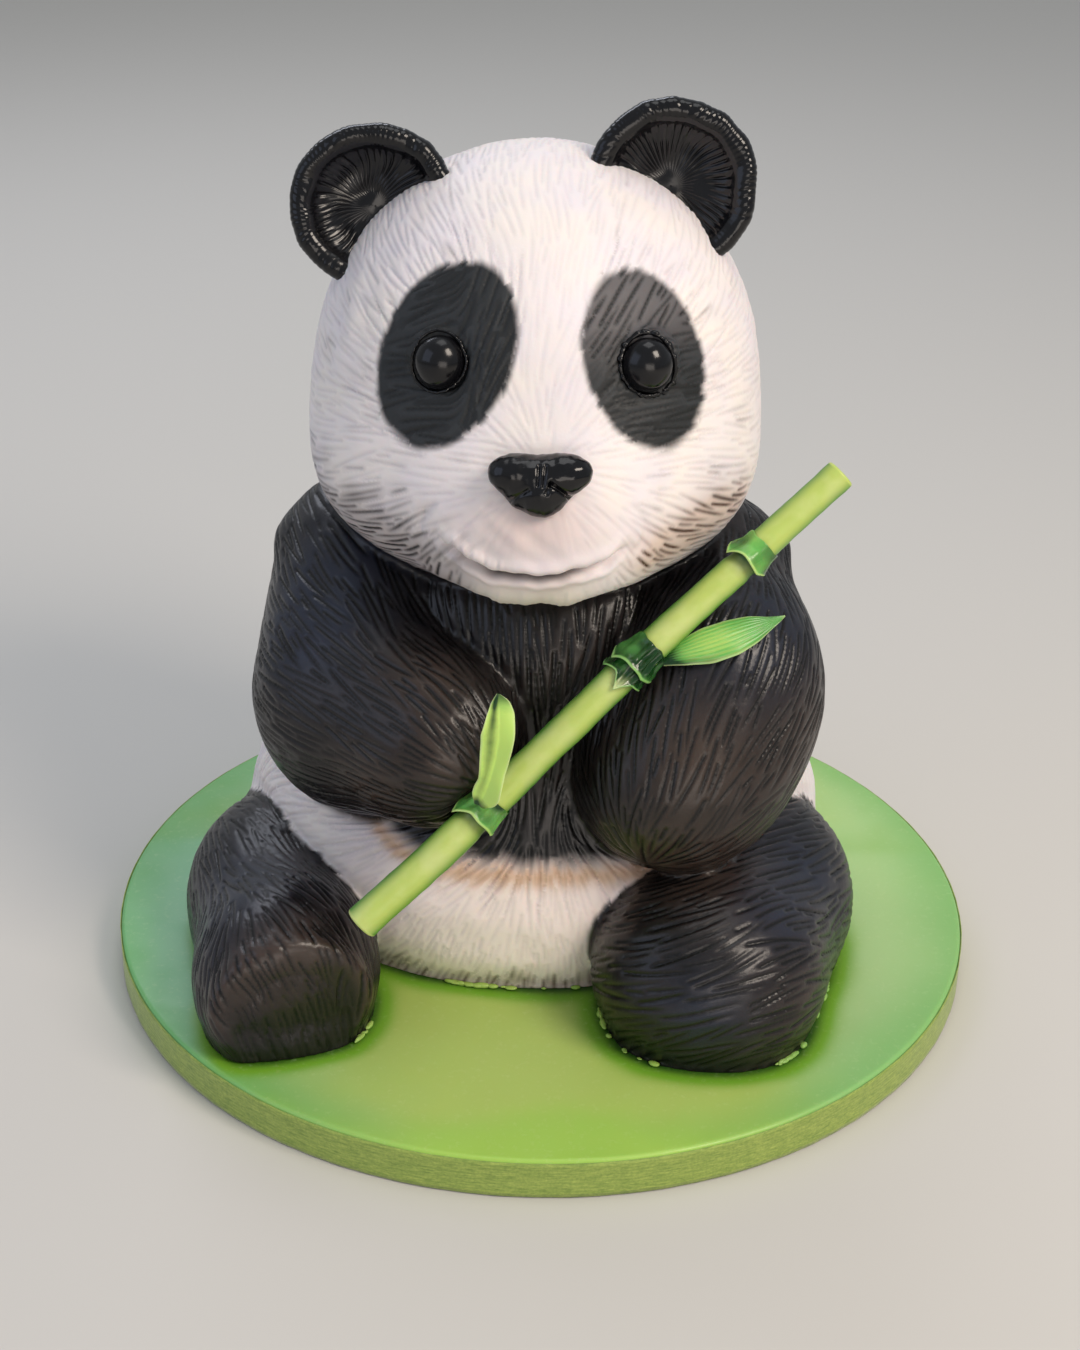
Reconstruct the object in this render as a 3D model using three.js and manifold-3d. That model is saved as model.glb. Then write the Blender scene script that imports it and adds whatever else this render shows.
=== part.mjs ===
// A seated giant panda sculpted as a display cake: sugar paste over cake on a round covered board,
// with a sugar cane of bamboo laid across its chest.
// Millimetres, +Z up. The origin is the centre of the board's underside. The panda faces -Y, so its
// own left side is +X, and the names left and right are the panda's own.
import * as THREE from "three";
import { mergeVertices } from "three/addons/utils/BufferGeometryUtils.js";
import Module from "manifold-3d";

const wasm = await Module();
wasm.setup();

// ---- Driving sizes ----
const GAP = 0.3; // clearance between pieces that touch
const BOARD_RADIUS = 177.2; // a 14 inch cake drum
const DRUM_THICKNESS = 12.7; // half an inch of board
const ICING_THICKNESS = 4;
const RIBBON_THICKNESS = 0.8;
const RIBBON_HEIGHT = 15;
const RIBBON_LIFT = 0.6; // keeps the ribbon's lower edge clear of the table
const MIDDLE_X = -4; // the figure sits a little to its right of the board's centre
const BOARD_TOP = DRUM_THICKNESS + GAP + ICING_THICKNESS;
const SEAT = BOARD_TOP + GAP; // where the figure's flat underside begins

const DRUM_BOARD = { color: 0xcfd0cc, roughness: 0.5 };
const PASTE_WHITE = { color: 0xf3ece6, roughness: 0.5 };
const PASTE_BLACK = { color: 0x1d1a1b, roughness: 0.4 };
const GLAZE_BLACK = { color: 0x0b0b0d, roughness: 0.12 };
const ICING_GREEN = { color: 0x7fbf5a, roughness: 0.45 };
const RIBBON_GREEN = { color: 0xa9b84a, roughness: 0.6 };
const CANE_GREEN = { color: 0x9cc252, roughness: 0.35 };
const LEAF_GREEN = { color: 0x4f9e3c, roughness: 0.35 };

// ---- Fields: each takes a point and returns roughly its distance outside the form ----
function ellipsoid(at, radii, turn = [0, 0, 0]) {
  const centre = new THREE.Vector3(...at);
  const spin = new THREE.Euler(...turn.map(THREE.MathUtils.degToRad));
  const unturn = new THREE.Quaternion().setFromEuler(spin).invert();
  const local = new THREE.Vector3();
  return (point) => {
    local.copy(point).sub(centre).applyQuaternion(unturn);
    const x = local.x / radii[0];
    const y = local.y / radii[1];
    const z = local.z / radii[2];
    const reach = Math.hypot(x, y, z);
    const slope = Math.hypot(x / radii[0], y / radii[1], z / radii[2]);
    return slope < 1e-9 ? -Math.min(...radii) : (reach * (reach - 1)) / slope;
  };
}

function halfSpace(through, facing) {
  const normal = new THREE.Vector3(...facing).normalize();
  const offset = normal.dot(new THREE.Vector3(...through));
  return (point) => normal.dot(point) - offset;
}

function smoothMin(a, b, blend) {
  const mix = Math.max(blend - Math.abs(a - b), 0) / blend;
  return Math.min(a, b) - (mix * mix * blend) / 4;
}

function blended(blend, ...fields) {
  return (point) => fields.map((field) => field(point)).reduce((a, b) => smoothMin(a, b, blend));
}

function pressed(blend, body, ...tools) {
  return (point) =>
    tools.reduce((depth, tool) => -smoothMin(-depth, tool(point), blend), body(point));
}

// ---- Solids ----
function solidOf(geometry) {
  const bare = geometry.clone();
  bare.deleteAttribute("normal");
  bare.deleteAttribute("uv");
  const merged = mergeVertices(bare, 1e-3);
  return new wasm.Manifold(
    new wasm.Mesh({
      numProp: 3,
      vertProperties: new Float32Array(merged.attributes.position.array),
      triVerts: new Uint32Array(merged.index.array),
    }),
  );
}

// A ball whose every point is moved out to the outermost surface that its direction meets.
function cast(field, centre, detail, grown = 0) {
  const FAR = 260;
  const ball = new THREE.IcosahedronGeometry(1, detail);
  const spots = ball.attributes.position;
  const heart = new THREE.Vector3(...centre);
  const direction = new THREE.Vector3();
  const point = new THREE.Vector3();
  for (let i = 0; i < spots.count; i++) {
    direction.fromBufferAttribute(spots, i).normalize();
    let reach = FAR;
    for (let step = 0; step < 160; step++) {
      point.copy(heart).addScaledVector(direction, reach);
      const outside = field(point) - grown;
      reach -= 0.75 * outside;
      if (Math.abs(outside) < 0.002) break;
    }
    point.copy(heart).addScaledVector(direction, reach);
    spots.setXYZ(i, point.x, point.y, point.z);
  }
  return solidOf(ball);
}

function without(solid, ...tools) {
  return tools.reduce((left, tool) => left.subtract(tool), solid);
}

// A cut can leave loose crumbs: only the largest body is the piece.
function largest(solid) {
  const bodies = solid.decompose();
  return bodies.reduce((a, b) => (a.volume() > b.volume() ? a : b));
}

const panda = new THREE.Group();

function piece(name, solid, finish) {
  const { vertProperties, triVerts } = largest(solid).simplify(GAP / 4).getMesh();
  const geometry = new THREE.BufferGeometry();
  geometry.setAttribute("position", new THREE.BufferAttribute(vertProperties, 3));
  geometry.setIndex(new THREE.BufferAttribute(triVerts, 1));
  geometry.computeVertexNormals();
  const mesh = new THREE.Mesh(geometry, new THREE.MeshStandardMaterial({ metalness: 0, ...finish }));
  mesh.name = name;
  panda.add(mesh);
}

function turnedAbout(profile, segments) {
  const points = profile.map(([radius, along]) => new THREE.Vector2(radius, along));
  return new THREE.LatheGeometry(points, segments);
}

// ---- The board: a drum, the icing rolled over its top, and a ribbon round the edge ----
const RIM_SEGMENTS = 56;
const UPRIGHT = Math.PI / 2; // turns a lathe's axis from +Y to +Z

function boardDrum() {
  const drum = new THREE.CylinderGeometry(BOARD_RADIUS, BOARD_RADIUS, DRUM_THICKNESS, RIM_SEGMENTS);
  return solidOf(drum.rotateX(UPRIGHT).translate(0, 0, DRUM_THICKNESS / 2));
}

function boardIcing() {
  const bottom = DRUM_THICKNESS + GAP;
  const round = 1.6;
  const profile = [
    [0, bottom],
    [BOARD_RADIUS, bottom],
    [BOARD_RADIUS, BOARD_TOP - round],
    [BOARD_RADIUS - round * 0.3, BOARD_TOP - round * 0.3],
    [BOARD_RADIUS - round, BOARD_TOP],
    [0, BOARD_TOP],
  ];
  return solidOf(turnedAbout(profile, RIM_SEGMENTS).rotateX(UPRIGHT));
}

function edgeRibbon() {
  const inner = BOARD_RADIUS + GAP;
  const outer = inner + RIBBON_THICKNESS;
  const top = RIBBON_LIFT + RIBBON_HEIGHT;
  const profile = [
    [inner, RIBBON_LIFT],
    [outer, RIBBON_LIFT],
    [outer, top],
    [inner, top],
    [inner, RIBBON_LIFT],
  ];
  return solidOf(turnedAbout(profile, RIM_SEGMENTS).rotateX(UPRIGHT));
}

// ---- The bamboo cane: one tapered stick, laid from the right knee to the left shoulder ----
const CANE_START = new THREE.Vector3(-68, -113, 73);
const CANE_END = new THREE.Vector3(106, -50, 233);
const CANE_LENGTH = CANE_START.distanceTo(CANE_END);
const CANE_RADIUS = { start: 6.6, end: 5.8 };
const CANE_SIDES = 12;

// A lathed profile of [radius, share of the cane's length] pairs, laid on the cane's own line.
function onCane(profile) {
  const points = profile.map(([radius, share]) => [radius, share * CANE_LENGTH]);
  const along = CANE_END.clone().sub(CANE_START).normalize();
  const aim = new THREE.Quaternion().setFromUnitVectors(new THREE.Vector3(0, 1, 0), along);
  const turned = turnedAbout(points, CANE_SIDES).applyQuaternion(aim);
  return solidOf(turned.translate(...CANE_START.toArray()));
}

function caneRadius(share) {
  return THREE.MathUtils.lerp(CANE_RADIUS.start, CANE_RADIUS.end, share);
}

function caneSolid(grown = 0) {
  const over = grown / CANE_LENGTH;
  const bevel = 0.8;
  return onCane([
    [0, -over],
    [CANE_RADIUS.start + grown - bevel, -over],
    [CANE_RADIUS.start + grown, -over + bevel / CANE_LENGTH],
    [CANE_RADIUS.end + grown, 1 + over - bevel / CANE_LENGTH],
    [CANE_RADIUS.end + grown - bevel, 1 + over],
    [0, 1 + over],
  ]);
}

// A sheath wraps the cane at each joint, thin below and flared above.
const SHEATHS = {
  sheath_low: { from: 0.236, to: 0.29, wall: 1.3, flare: 2.2 },
  sheath_middle: { from: 0.535, to: 0.64, wall: 1.3, flare: 2.6 },
  sheath_high: { from: 0.792, to: 0.852, wall: 1.2, flare: 2.4 },
};

function sheathSolid({ from, to, wall, flare }) {
  const lip = THREE.MathUtils.lerp(from, to, 0.8);
  return onCane([
    [caneRadius(from) + GAP, from],
    [caneRadius(from) + GAP + wall, from],
    [caneRadius(lip) + GAP + flare, lip],
    [caneRadius(to) + GAP + wall, to],
    [caneRadius(to) + GAP, to],
    [caneRadius(from) + GAP, from],
  ]);
}

function sheathRoom({ from, to, flare }) {
  const over = GAP / CANE_LENGTH;
  const lip = THREE.MathUtils.lerp(from, to, 0.8);
  return onCane([
    [0, from - over],
    [caneRadius(from) + 2 * GAP + flare * 0.65, from - over],
    [caneRadius(lip) + 2 * GAP + flare, lip],
    [caneRadius(to) + 2 * GAP + flare * 0.65, to + over],
    [0, to + over],
  ]);
}

// A leaf is a ball drawn out along a bent spine: wide in its middle, pointed at its tip, and with its
// two halves folded up from the midrib.
function leafSolid({ spine, facing, width, fold }) {
  const THICKNESS = 2.2;
  const curve = new THREE.CatmullRomCurve3(spine.map((p) => new THREE.Vector3(...p)));
  const leaf = new THREE.SphereGeometry(1, 8, 12).rotateZ(-Math.PI / 2);
  const spots = leaf.attributes.position;
  for (let i = 0; i < spots.count; i++) {
    const share = THREE.MathUtils.clamp((spots.getX(i) + 1) / 2, 0, 1);
    const along = curve.getTangent(share);
    const across = new THREE.Vector3(...facing).cross(along).normalize();
    const up = along.clone().cross(across);
    const aside = (spots.getY(i) * width) / 2;
    const spot = curve.getPoint(share).addScaledVector(across, aside);
    spot.addScaledVector(up, (spots.getZ(i) * THICKNESS) / 2 + fold * Math.abs(aside));
    spots.setXYZ(i, spot.x, spot.y, spot.z);
  }
  return solidOf(leaf);
}

const LEAVES = {
  leaf_low: {
    spine: [[-23, -103, 120], [-18.4, -105, 137.7], [-17.1, -105, 150], [-17.4, -102, 166.4]],
    facing: [-0.3, -1, 0.2],
    width: 10.5,
    fold: -0.5,
  },
  leaf_high: {
    spine: [[42, -77, 171], [52, -76, 176], [63, -73, 179], [87.5, -63, 180]],
    facing: [0, -0.8, 0.6],
    width: 14,
    fold: -0.3,
  },
};

// ---- The head: cranium, cheeks, muzzle and chin, with a socket pressed in for each eye ----
const HEAD = [MIDDLE_X - 2, 13, 246];
const EYE_RIGHT = [-39.5, -62.5, 275];
const EYE_LEFT = [33.2, -62.5, 275.5];
const EYE_RADIUS = 9.4;
const SOCKET_GROOVE = 1.4; // the socket's clearance round the eye

const headField = blended(
  24,
  ellipsoid(HEAD, [86, 88, 88]),
  ellipsoid([-47, -16, 221], [39, 46, 29]),
  ellipsoid([35, -14, 220], [39, 48, 30]),
  ellipsoid([-2.5, -57, 225], [42, 36, 28], [14, 0, 0]),
  ellipsoid([-1.5, -62, 204], [33, 24, 10]),
);

function headSolid(grown = 0) {
  return cast(headField, [HEAD[0], HEAD[1] - 10, HEAD[2] - 12], 7, grown);
}

function eyeSolid(at, grown = 0) {
  const ball = new THREE.IcosahedronGeometry(EYE_RADIUS + grown, 1);
  return solidOf(ball.scale(0.92, 0.8, 1).translate(at[0], at[1] + 2, at[2]));
}

// The nose is a rounded bar with a wing on each side and a point below.
const NOSE = [-3.2, -91, 243.4];
const noseField = blended(
  3,
  ellipsoid([NOSE[0] - 9, NOSE[1] + 2, NOSE[2] + 1.5], [11, 7.5, 7.6], [0, 6, 10]),
  ellipsoid([NOSE[0] + 8, NOSE[1] + 2, NOSE[2] + 2], [11, 7.5, 7.6], [0, -6, -10]),
  ellipsoid([NOSE[0] + 0.8, NOSE[1] - 1, NOSE[2] - 4], [7.5, 7, 9]),
);

function noseSolid(grown = 0) {
  return cast(noseField, [NOSE[0], NOSE[1] + 2, NOSE[2] - 1.5], 3, grown);
}

// An ear is a shallow cup with a thick rolled rim, set edge-on into the head.
const EAR_RADIUS = 32;
const EAR_CUP = [
  [0, 5],
  [12, 4],
  [21, 0.5],
  [25, -4],
  [27.5, -6],
  [30.5, -5.5],
  [EAR_RADIUS, -1.5],
  [31, 4],
  [25, 9.5],
  [13, 13],
  [0, 14],
];

const EAR_LEAN = THREE.MathUtils.degToRad(-12); // the cups face the front and a little downward
const EARS = {
  ear_right: { at: [-67, 4, 312], tall: 0.94 },
  ear_left: { at: [43, 6, 321], tall: 1 },
};

function earSolid(at, tall) {
  const cup = turnedAbout(EAR_CUP, 22).scale(1, 1, tall);
  return solidOf(cup.rotateX(EAR_LEAN).translate(...at));
}

// ---- The limbs and trunk ----
const armRightField = blended(
  18,
  ellipsoid([-69, 0, 157], [42, 45, 45]),
  ellipsoid([-70, -34, 129], [45, 46, 49], [0, 0, 10]),
  ellipsoid([-40, -68, 128], [34, 34, 36]),
);
const armLeftField = blended(
  18,
  ellipsoid([60, 2, 151], [40, 44, 41]),
  ellipsoid([62, -38, 132], [46.5, 48, 57], [0, 8, 0]),
  ellipsoid([50, -66, 110], [40, 34, 36]),
);
const legRightField = pressed(
  8,
  blended(
    20,
    ellipsoid([-110, -24, 29], [37, 56, 40], [0, -16, 0]),
    ellipsoid([-99, -88, 33], [37, 48, 39]),
  ),
  halfSpace([-94, -123, 34], [-0.3, 0.92, 0.08]),
);
const legLeftField = pressed(
  16,
  blended(
    20,
    ellipsoid([84, -28, 37], [45, 58, 42], [0, 6, 0]),
    ellipsoid([65, -86, 38], [47, 48, 42], [0, 4, 0]),
  ),
  halfSpace([65, -133, 34], [0.1, 0.95, 0.1]),
);
const trunkField = blended(
  30,
  ellipsoid([MIDDLE_X, 20, 54], [121, 102, 84]),
  ellipsoid([MIDDLE_X, 20, 142], [94, 88, 70]),
);

const armRight = (grown = 0) => cast(armRightField, [-64, -34, 136], 4, grown);
const armLeft = (grown = 0) => cast(armLeftField, [60, -36, 132], 4, grown);
const legRight = (grown = 0) => cast(legRightField, [-99, -54, 42], 4, grown);
const legLeft = (grown = 0) => cast(legLeftField, [76, -54, 44], 4, grown);
const trunk = (grown = 0) => cast(trunkField, [MIDDLE_X, 16, 90], 5, grown);

function tailSolid() {
  const field = ellipsoid([MIDDLE_X, 117, 40], [21, 17, 19]);
  return cast(field, [MIDDLE_X, 117, 40], 3);
}

// Everything under the figure's flat underside.
const belowSeat = solidOf(new THREE.BoxGeometry(500, 500, 200).translate(0, 0, SEAT - 100));

// ---- Assembly: each piece is cut back by the ones that lie on it ----
const caneRoom = wasm.Manifold.union([caneSolid(GAP), ...Object.values(SHEATHS).map(sheathRoom)]);
const headRoom = headSolid(GAP);
const sockets = [eyeSolid(EYE_RIGHT, SOCKET_GROOVE), eyeSolid(EYE_LEFT, SOCKET_GROOVE)];
const armsRoom = [armRight(GAP), armLeft(GAP)];
const legsRoom = [legRight(GAP), legLeft(GAP)];

piece("board_drum", boardDrum(), DRUM_BOARD);
piece("board_icing", boardIcing(), ICING_GREEN);
piece("edge_ribbon", edgeRibbon(), RIBBON_GREEN);

piece("trunk", without(trunk(), headRoom, ...armsRoom, ...legsRoom, caneRoom, belowSeat), PASTE_BLACK);
piece("tail", without(tailSolid(), trunk(GAP), belowSeat), PASTE_WHITE);
piece("leg_right", without(legRight(), ...armsRoom, caneRoom, belowSeat), PASTE_BLACK);
piece("leg_left", without(legLeft(), ...armsRoom, caneRoom, belowSeat), PASTE_BLACK);
piece("arm_right", without(armRight(), headRoom, caneRoom), PASTE_BLACK);
piece("arm_left", without(armLeft(), headRoom, armsRoom[0], caneRoom), PASTE_BLACK);

piece("head", without(headSolid(), noseSolid(GAP), ...sockets, caneRoom), PASTE_WHITE);
piece("nose", noseSolid(), GLAZE_BLACK);
piece("eye_right", eyeSolid(EYE_RIGHT), GLAZE_BLACK);
piece("eye_left", eyeSolid(EYE_LEFT), GLAZE_BLACK);
for (const [name, { at, tall }] of Object.entries(EARS)) {
  piece(name, without(earSolid(at, tall), headRoom), GLAZE_BLACK);
}

piece("bamboo_cane", caneSolid(), CANE_GREEN);
for (const [name, sheath] of Object.entries(SHEATHS)) {
  piece(name, sheathSolid(sheath), LEAF_GREEN);
}
for (const [name, leaf] of Object.entries(LEAVES)) {
  piece(name, without(leafSolid(leaf), caneRoom, ...armsRoom), LEAF_GREEN);
}

export default panda;
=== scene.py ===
import functools
import math

import bpy
import numpy as np
import openvdb
from mathutils import Matrix, Vector
from mathutils.kdtree import KDTree


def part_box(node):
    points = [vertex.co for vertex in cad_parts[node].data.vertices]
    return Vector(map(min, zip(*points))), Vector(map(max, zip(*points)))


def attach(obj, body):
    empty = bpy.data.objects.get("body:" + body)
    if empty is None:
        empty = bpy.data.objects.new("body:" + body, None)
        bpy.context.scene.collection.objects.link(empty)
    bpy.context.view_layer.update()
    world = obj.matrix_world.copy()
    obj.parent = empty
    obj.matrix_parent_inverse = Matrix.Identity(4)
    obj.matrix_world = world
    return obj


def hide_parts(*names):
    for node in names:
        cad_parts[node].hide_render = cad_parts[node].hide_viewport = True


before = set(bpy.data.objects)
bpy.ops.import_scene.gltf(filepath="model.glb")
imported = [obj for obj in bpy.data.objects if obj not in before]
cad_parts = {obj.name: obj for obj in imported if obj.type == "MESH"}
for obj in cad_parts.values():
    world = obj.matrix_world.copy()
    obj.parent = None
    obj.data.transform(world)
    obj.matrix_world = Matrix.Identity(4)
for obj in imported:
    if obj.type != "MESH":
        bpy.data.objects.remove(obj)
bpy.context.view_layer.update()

# ---------------------------------------------------------------------------------------------------
# The studio: a pale paper sweep, a large soft key at the front right, a cooler fill from the left and
# a strip behind that draws the gloss. The camera stands a long pace back and looks down.
# ---------------------------------------------------------------------------------------------------
MM = 0.001


def linear(code):
    """An sRGB hex colour as linear RGBA."""
    shares = [int(code[i : i + 2], 16) / 255 for i in (1, 3, 5)]
    return [s / 12.92 if s <= 0.04045 else ((s + 0.055) / 1.055) ** 2.4 for s in shares] + [1.0]


def add_node(tree, kind, inputs=None, **settings):
    """A node with its settings; an input is a value, a socket, or a node for its first live output."""
    node = tree.nodes.new("ShaderNode" + kind)
    for name, value in settings.items():
        setattr(node, name, value)
    for socket, value in (inputs or {}).items():
        if isinstance(value, bpy.types.Node):
            value = next(output for output in value.outputs if output.enabled)
        if isinstance(value, bpy.types.NodeSocket):
            tree.links.new(value, node.inputs[socket])
        else:
            node.inputs[socket].default_value = value
    return node


def new_material(name):
    """A material with an empty tree, and add_node for that tree."""
    material = bpy.data.materials.new(name)
    material.use_nodes = True
    material.node_tree.nodes.clear()
    return material, functools.partial(add_node, material.node_tree)


def aim(thing, at, target):
    thing.location = at
    thing.rotation_euler = (Vector(target) - Vector(at)).to_track_quat("-Z", "Y").to_euler()
    bpy.context.scene.collection.objects.link(thing)


CAMERA_AT = Vector((-2.4, -807.8, 540.2)) * MM
CAMERA_PITCH = math.radians(27.44)
CAMERA_ROLL = math.radians(1.06)
camera_data = bpy.data.cameras.new("camera")
camera_data.sensor_width = 36
camera_data.lens = 59.68
camera = bpy.data.objects.new("camera", camera_data)
camera.matrix_world = (
    Matrix.Translation(CAMERA_AT)
    @ Matrix.Rotation(math.pi / 2 - CAMERA_PITCH, 4, "X")
    @ Matrix.Rotation(CAMERA_ROLL, 4, "Z")
)
bpy.context.scene.collection.objects.link(camera)
bpy.context.scene.camera = camera
bpy.context.scene.view_settings.view_transform = "Standard"

SOFTBOXES = {
    # name: (place in metres, width, height, watts, colour)
    "key": ((0.9, -0.75, 1.2), 0.6, 0.6, 15.5, "#FFF1E2"),
    "fill": ((-1.3, -0.7, 0.8), 1.1, 1.1, 3.2, "#D0DEFF"),
    "low_front": ((0.35, -1.7, 0.25), 1.0, 0.5, 4.2, "#FFF4EA"),
    "back_strip": ((-0.5, 1.2, 1.2), 1.2, 0.4, 6, "#EEF2FF"),
    "top": ((0.1, 0.1, 1.7), 0.8, 0.8, 3.5, "#FFFFFF"),
}
for name, (at, width, height, watts, colour) in SOFTBOXES.items():
    light = bpy.data.lights.new(name, "AREA")
    light.shape = "RECTANGLE"
    light.size = width
    light.size_y = height
    light.energy = watts
    light.color = linear(colour)[:3]
    aim(bpy.data.objects.new(name, light), at, (0, 0, 0.15))

world = bpy.data.worlds.new("room")
world.use_nodes = True
world.node_tree.nodes["Background"].inputs["Color"].default_value = linear("#E9EEF4")
world.node_tree.nodes["Background"].inputs["Strength"].default_value = 0.45
bpy.context.scene.world = world

floor_mesh = bpy.data.meshes.new("floor")
floor_mesh.from_pydata([(-6, -6, 0), (6, -6, 0), (6, 6, 0), (-6, 6, 0)], [], [(0, 1, 2, 3)])
floor = bpy.data.objects.new("floor", floor_mesh)
bpy.context.scene.collection.objects.link(floor)
floor_paper, node = new_material("floor_paper")
paper = node("BsdfPrincipled", {"Base Color": linear("#CFCCC6"), "Roughness": 0.8})
node("OutputMaterial", {"Surface": paper})
floor_mesh.materials.append(floor_paper)

# ---------------------------------------------------------------------------------------------------
# The cake board: a fibre drum in foil paper, with 4 mm of green sugar paste rolled over its top and
# trimmed, and a matte ribbon glued round the edge. The paste is smoothed by hand and airbrushed.
# ---------------------------------------------------------------------------------------------------


def box_mm(node):
    """A CAD node's lowest and highest corner, in millimetres."""
    low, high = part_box(node)
    return np.array(low) / MM, np.array(high) / MM


def ease(low, high, value):
    """0 up to low, 1 from high on, and a smooth step between."""
    share = np.clip((value - low) / (high - low), 0, 1)
    return share * share * (3 - 2 * share)


def quad_mesh(name, places, faces):
    """A mesh from points in metres and quads."""
    mesh = bpy.data.meshes.new(name)
    mesh.vertices.add(len(places))
    mesh.vertices.foreach_set("co", places.ravel())
    mesh.loops.add(faces.size)
    mesh.loops.foreach_set("vertex_index", faces.astype(np.int32).ravel())
    mesh.polygons.add(len(faces))
    mesh.polygons.foreach_set("loop_start", np.arange(0, faces.size, 4, dtype=np.int32))
    mesh.update(calc_edges=True)
    return mesh


def add_piece(name, points, faces, material, slot, *replaced):
    """A smooth mesh from points in millimetres and quads, riding on the one body."""
    mesh = quad_mesh(name, np.asarray(points, np.float32) * MM, faces)
    mesh.shade_smooth()
    mesh.materials.append(material)
    piece = bpy.data.objects.new(name, mesh)
    bpy.context.scene.collection.objects.link(piece)
    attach(piece, "root")
    if replaced:
        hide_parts(*replaced)
    return piece


def woven(rows, columns, closed_rows=False, closed_columns=False):
    """The quads over a grid of points that is stored row by row."""
    i = np.arange(rows if closed_rows else rows - 1)[:, None]
    j = np.arange(columns if closed_columns else columns - 1)[None, :]
    a = i * columns + j
    b = i * columns + (j + 1) % columns
    c = (i + 1) % rows * columns + (j + 1) % columns
    d = (i + 1) % rows * columns + j
    return np.stack([a, b, c, d], -1).reshape(-1, 4)


def soft_noise(points, size, seed):
    """Smooth unevenness from -1 to 1, with swells about size across: a sum of random waves."""
    waves = np.random.default_rng(seed)
    total = np.zeros(len(points))
    for _ in range(9):
        direction = waves.normal(size=points.shape[1])
        direction *= 2 * math.pi / (size * waves.uniform(0.8, 2.2) * np.linalg.norm(direction))
        total += np.sin(points @ direction + waves.uniform(0, 2 * math.pi))
    return total / 5


def hold_attribute(piece, name, values):
    layer = piece.data.attributes.new(name, "FLOAT", "POINT")
    layer.data.foreach_set("value", np.asarray(values, np.float32))


def full_turn(steps):
    """Even angles once round, in radians."""
    return np.linspace(0, 2 * math.pi, steps, endpoint=False)


def turned(profile, steps):
    """A profile of [radius, height] points turned about Z."""
    angles = full_turn(steps)
    radius, height = np.asarray(profile, float).T[:, :, None]
    points = np.stack([radius * np.cos(angles), radius * np.sin(angles), height + 0 * angles], -1)
    return points.reshape(-1, 3), woven(len(profile), steps, closed_columns=True)


icing_low, icing_high = box_mm("board_icing")
ribbon_low, ribbon_high = box_mm("edge_ribbon")
drum_high = box_mm("board_drum")[1]
BOARD_RADIUS = icing_high[0]
BOARD_TOP = icing_high[2]

# The paste is rolled over close rings, so that hand-smoothed swells and dents show, to a soft corner.
ICING_EDGE = 1.8
rings = [[radius, BOARD_TOP] for radius in np.linspace(0.4, BOARD_RADIUS - ICING_EDGE, 130)]
for corner in np.linspace(0, math.pi / 2, 6)[1:]:
    rings.append(
        [
            BOARD_RADIUS - ICING_EDGE * (1 - math.sin(corner)),
            BOARD_TOP - ICING_EDGE * (1 - math.cos(corner)),
        ]
    )
rings += [[BOARD_RADIUS, BOARD_TOP - 3], [BOARD_RADIUS, icing_low[2]], [BOARD_RADIUS - 4, icing_low[2]]]
icing_points, icing_faces = turned(rings, 420)
icing_faces = icing_faces[:, ::-1]
on_top = icing_points[:, 2] > BOARD_TOP - 1.5
swell = soft_noise(icing_points[:, :2], 55, 3) * 0.22 + soft_noise(icing_points[:, :2], 16, 4) * 0.07
icing_points[:, 2] += np.where(on_top, swell - 0.3, 0)

# Sugar paste takes liquid colour from an airbrush in soft clouds without edges. It is yellow-green in
# front, cooler to the panda's right, deep at its feet and along the rim, with a satin shine. At the feet
# the darkest green is a painted contact shadow.
ICING_PASTE, node = new_material("airbrushed_green_sugar_paste")
place = node("TexCoord").outputs["Object"]
axes = node("SeparateXYZ", {0: place})
cloud = node("TexNoise", {"Vector": place, "Scale": 11, "Detail": 3.0})
across = node("Math", {0: cloud, 1: 0.12, 2: axes.outputs["X"]}, operation="MULTIPLY_ADD")
depth = node("Math", {0: cloud, 1: -0.06, 2: axes.outputs["Y"]}, operation="MULTIPLY_ADD")
reach = node("VectorMath", {0: place}, operation="LENGTH").outputs["Value"]
reach = node("Math", {0: cloud, 1: 0.03, 2: reach}, operation="MULTIPLY_ADD")
at_feet = node("Attribute", attribute_name="at_feet").outputs["Fac"]
feet_cloud = node("Math", {0: cloud, 1: 0.5, 2: at_feet}, operation="MULTIPLY_ADD")
SPRAYED_AND_SHADED = [
    # what it follows, where it starts, where it is full, how strong it is, and its colour
    (across, -0.10, 0.01, 1.0, "#AEC765"),
    (across, 0.12, 0.2, 1.0, "#ABCF8A"),
    (reach, 0.165, 0.196, 0.6, "#63AE52"),
    (depth, -0.168, -0.2, 1.0, "#A4CC58"),
    (feet_cloud, 0.45, 0.85, 1.0, "#76AC2C"),
    # the painted contact shadow round the feet
    (feet_cloud, 0.8, 1.4, 1.0, "#1F4A10"),
]
green = linear("#83BE8C")
for follows, start, full, strength, colour in SPRAYED_AND_SHADED:
    share = node(
        "MapRange",
        {"Value": follows, "From Min": start, "From Max": full, "To Max": strength},
        interpolation_type="SMOOTHSTEP",
    )
    green = node("Mix", {0: share, 6: green, 7: linear(colour)}, data_type="RGBA")
speckle = node("TexNoise", {"Vector": place, "Scale": 450, "Detail": 4.0, "Roughness": 0.6})
dusty = node("MapRange", {"Value": speckle, "From Min": 0.56, "From Max": 0.8, "To Max": 0.16})
green = node("Mix", {0: dusty, 6: green, 7: linear("#DCE8B4")}, data_type="RGBA")
streak = node("TexNoise", {"Vector": place, "Scale": 85, "Detail": 3.0})
gloss = node(
    "MapRange", {"Value": streak, "From Min": 0.3, "From Max": 0.7, "To Min": 0.34, "To Max": 0.5}
)
grain = node("Bump", {"Strength": 0.12, "Distance": 0.0002, "Height": speckle})
paste = node(
    "BsdfPrincipled",
    {
        "Base Color": green,
        "Roughness": gloss,
        "Normal": grain,
        "Subsurface Weight": 0.08,
        "Subsurface Scale": 0.002,
    },
)
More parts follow.
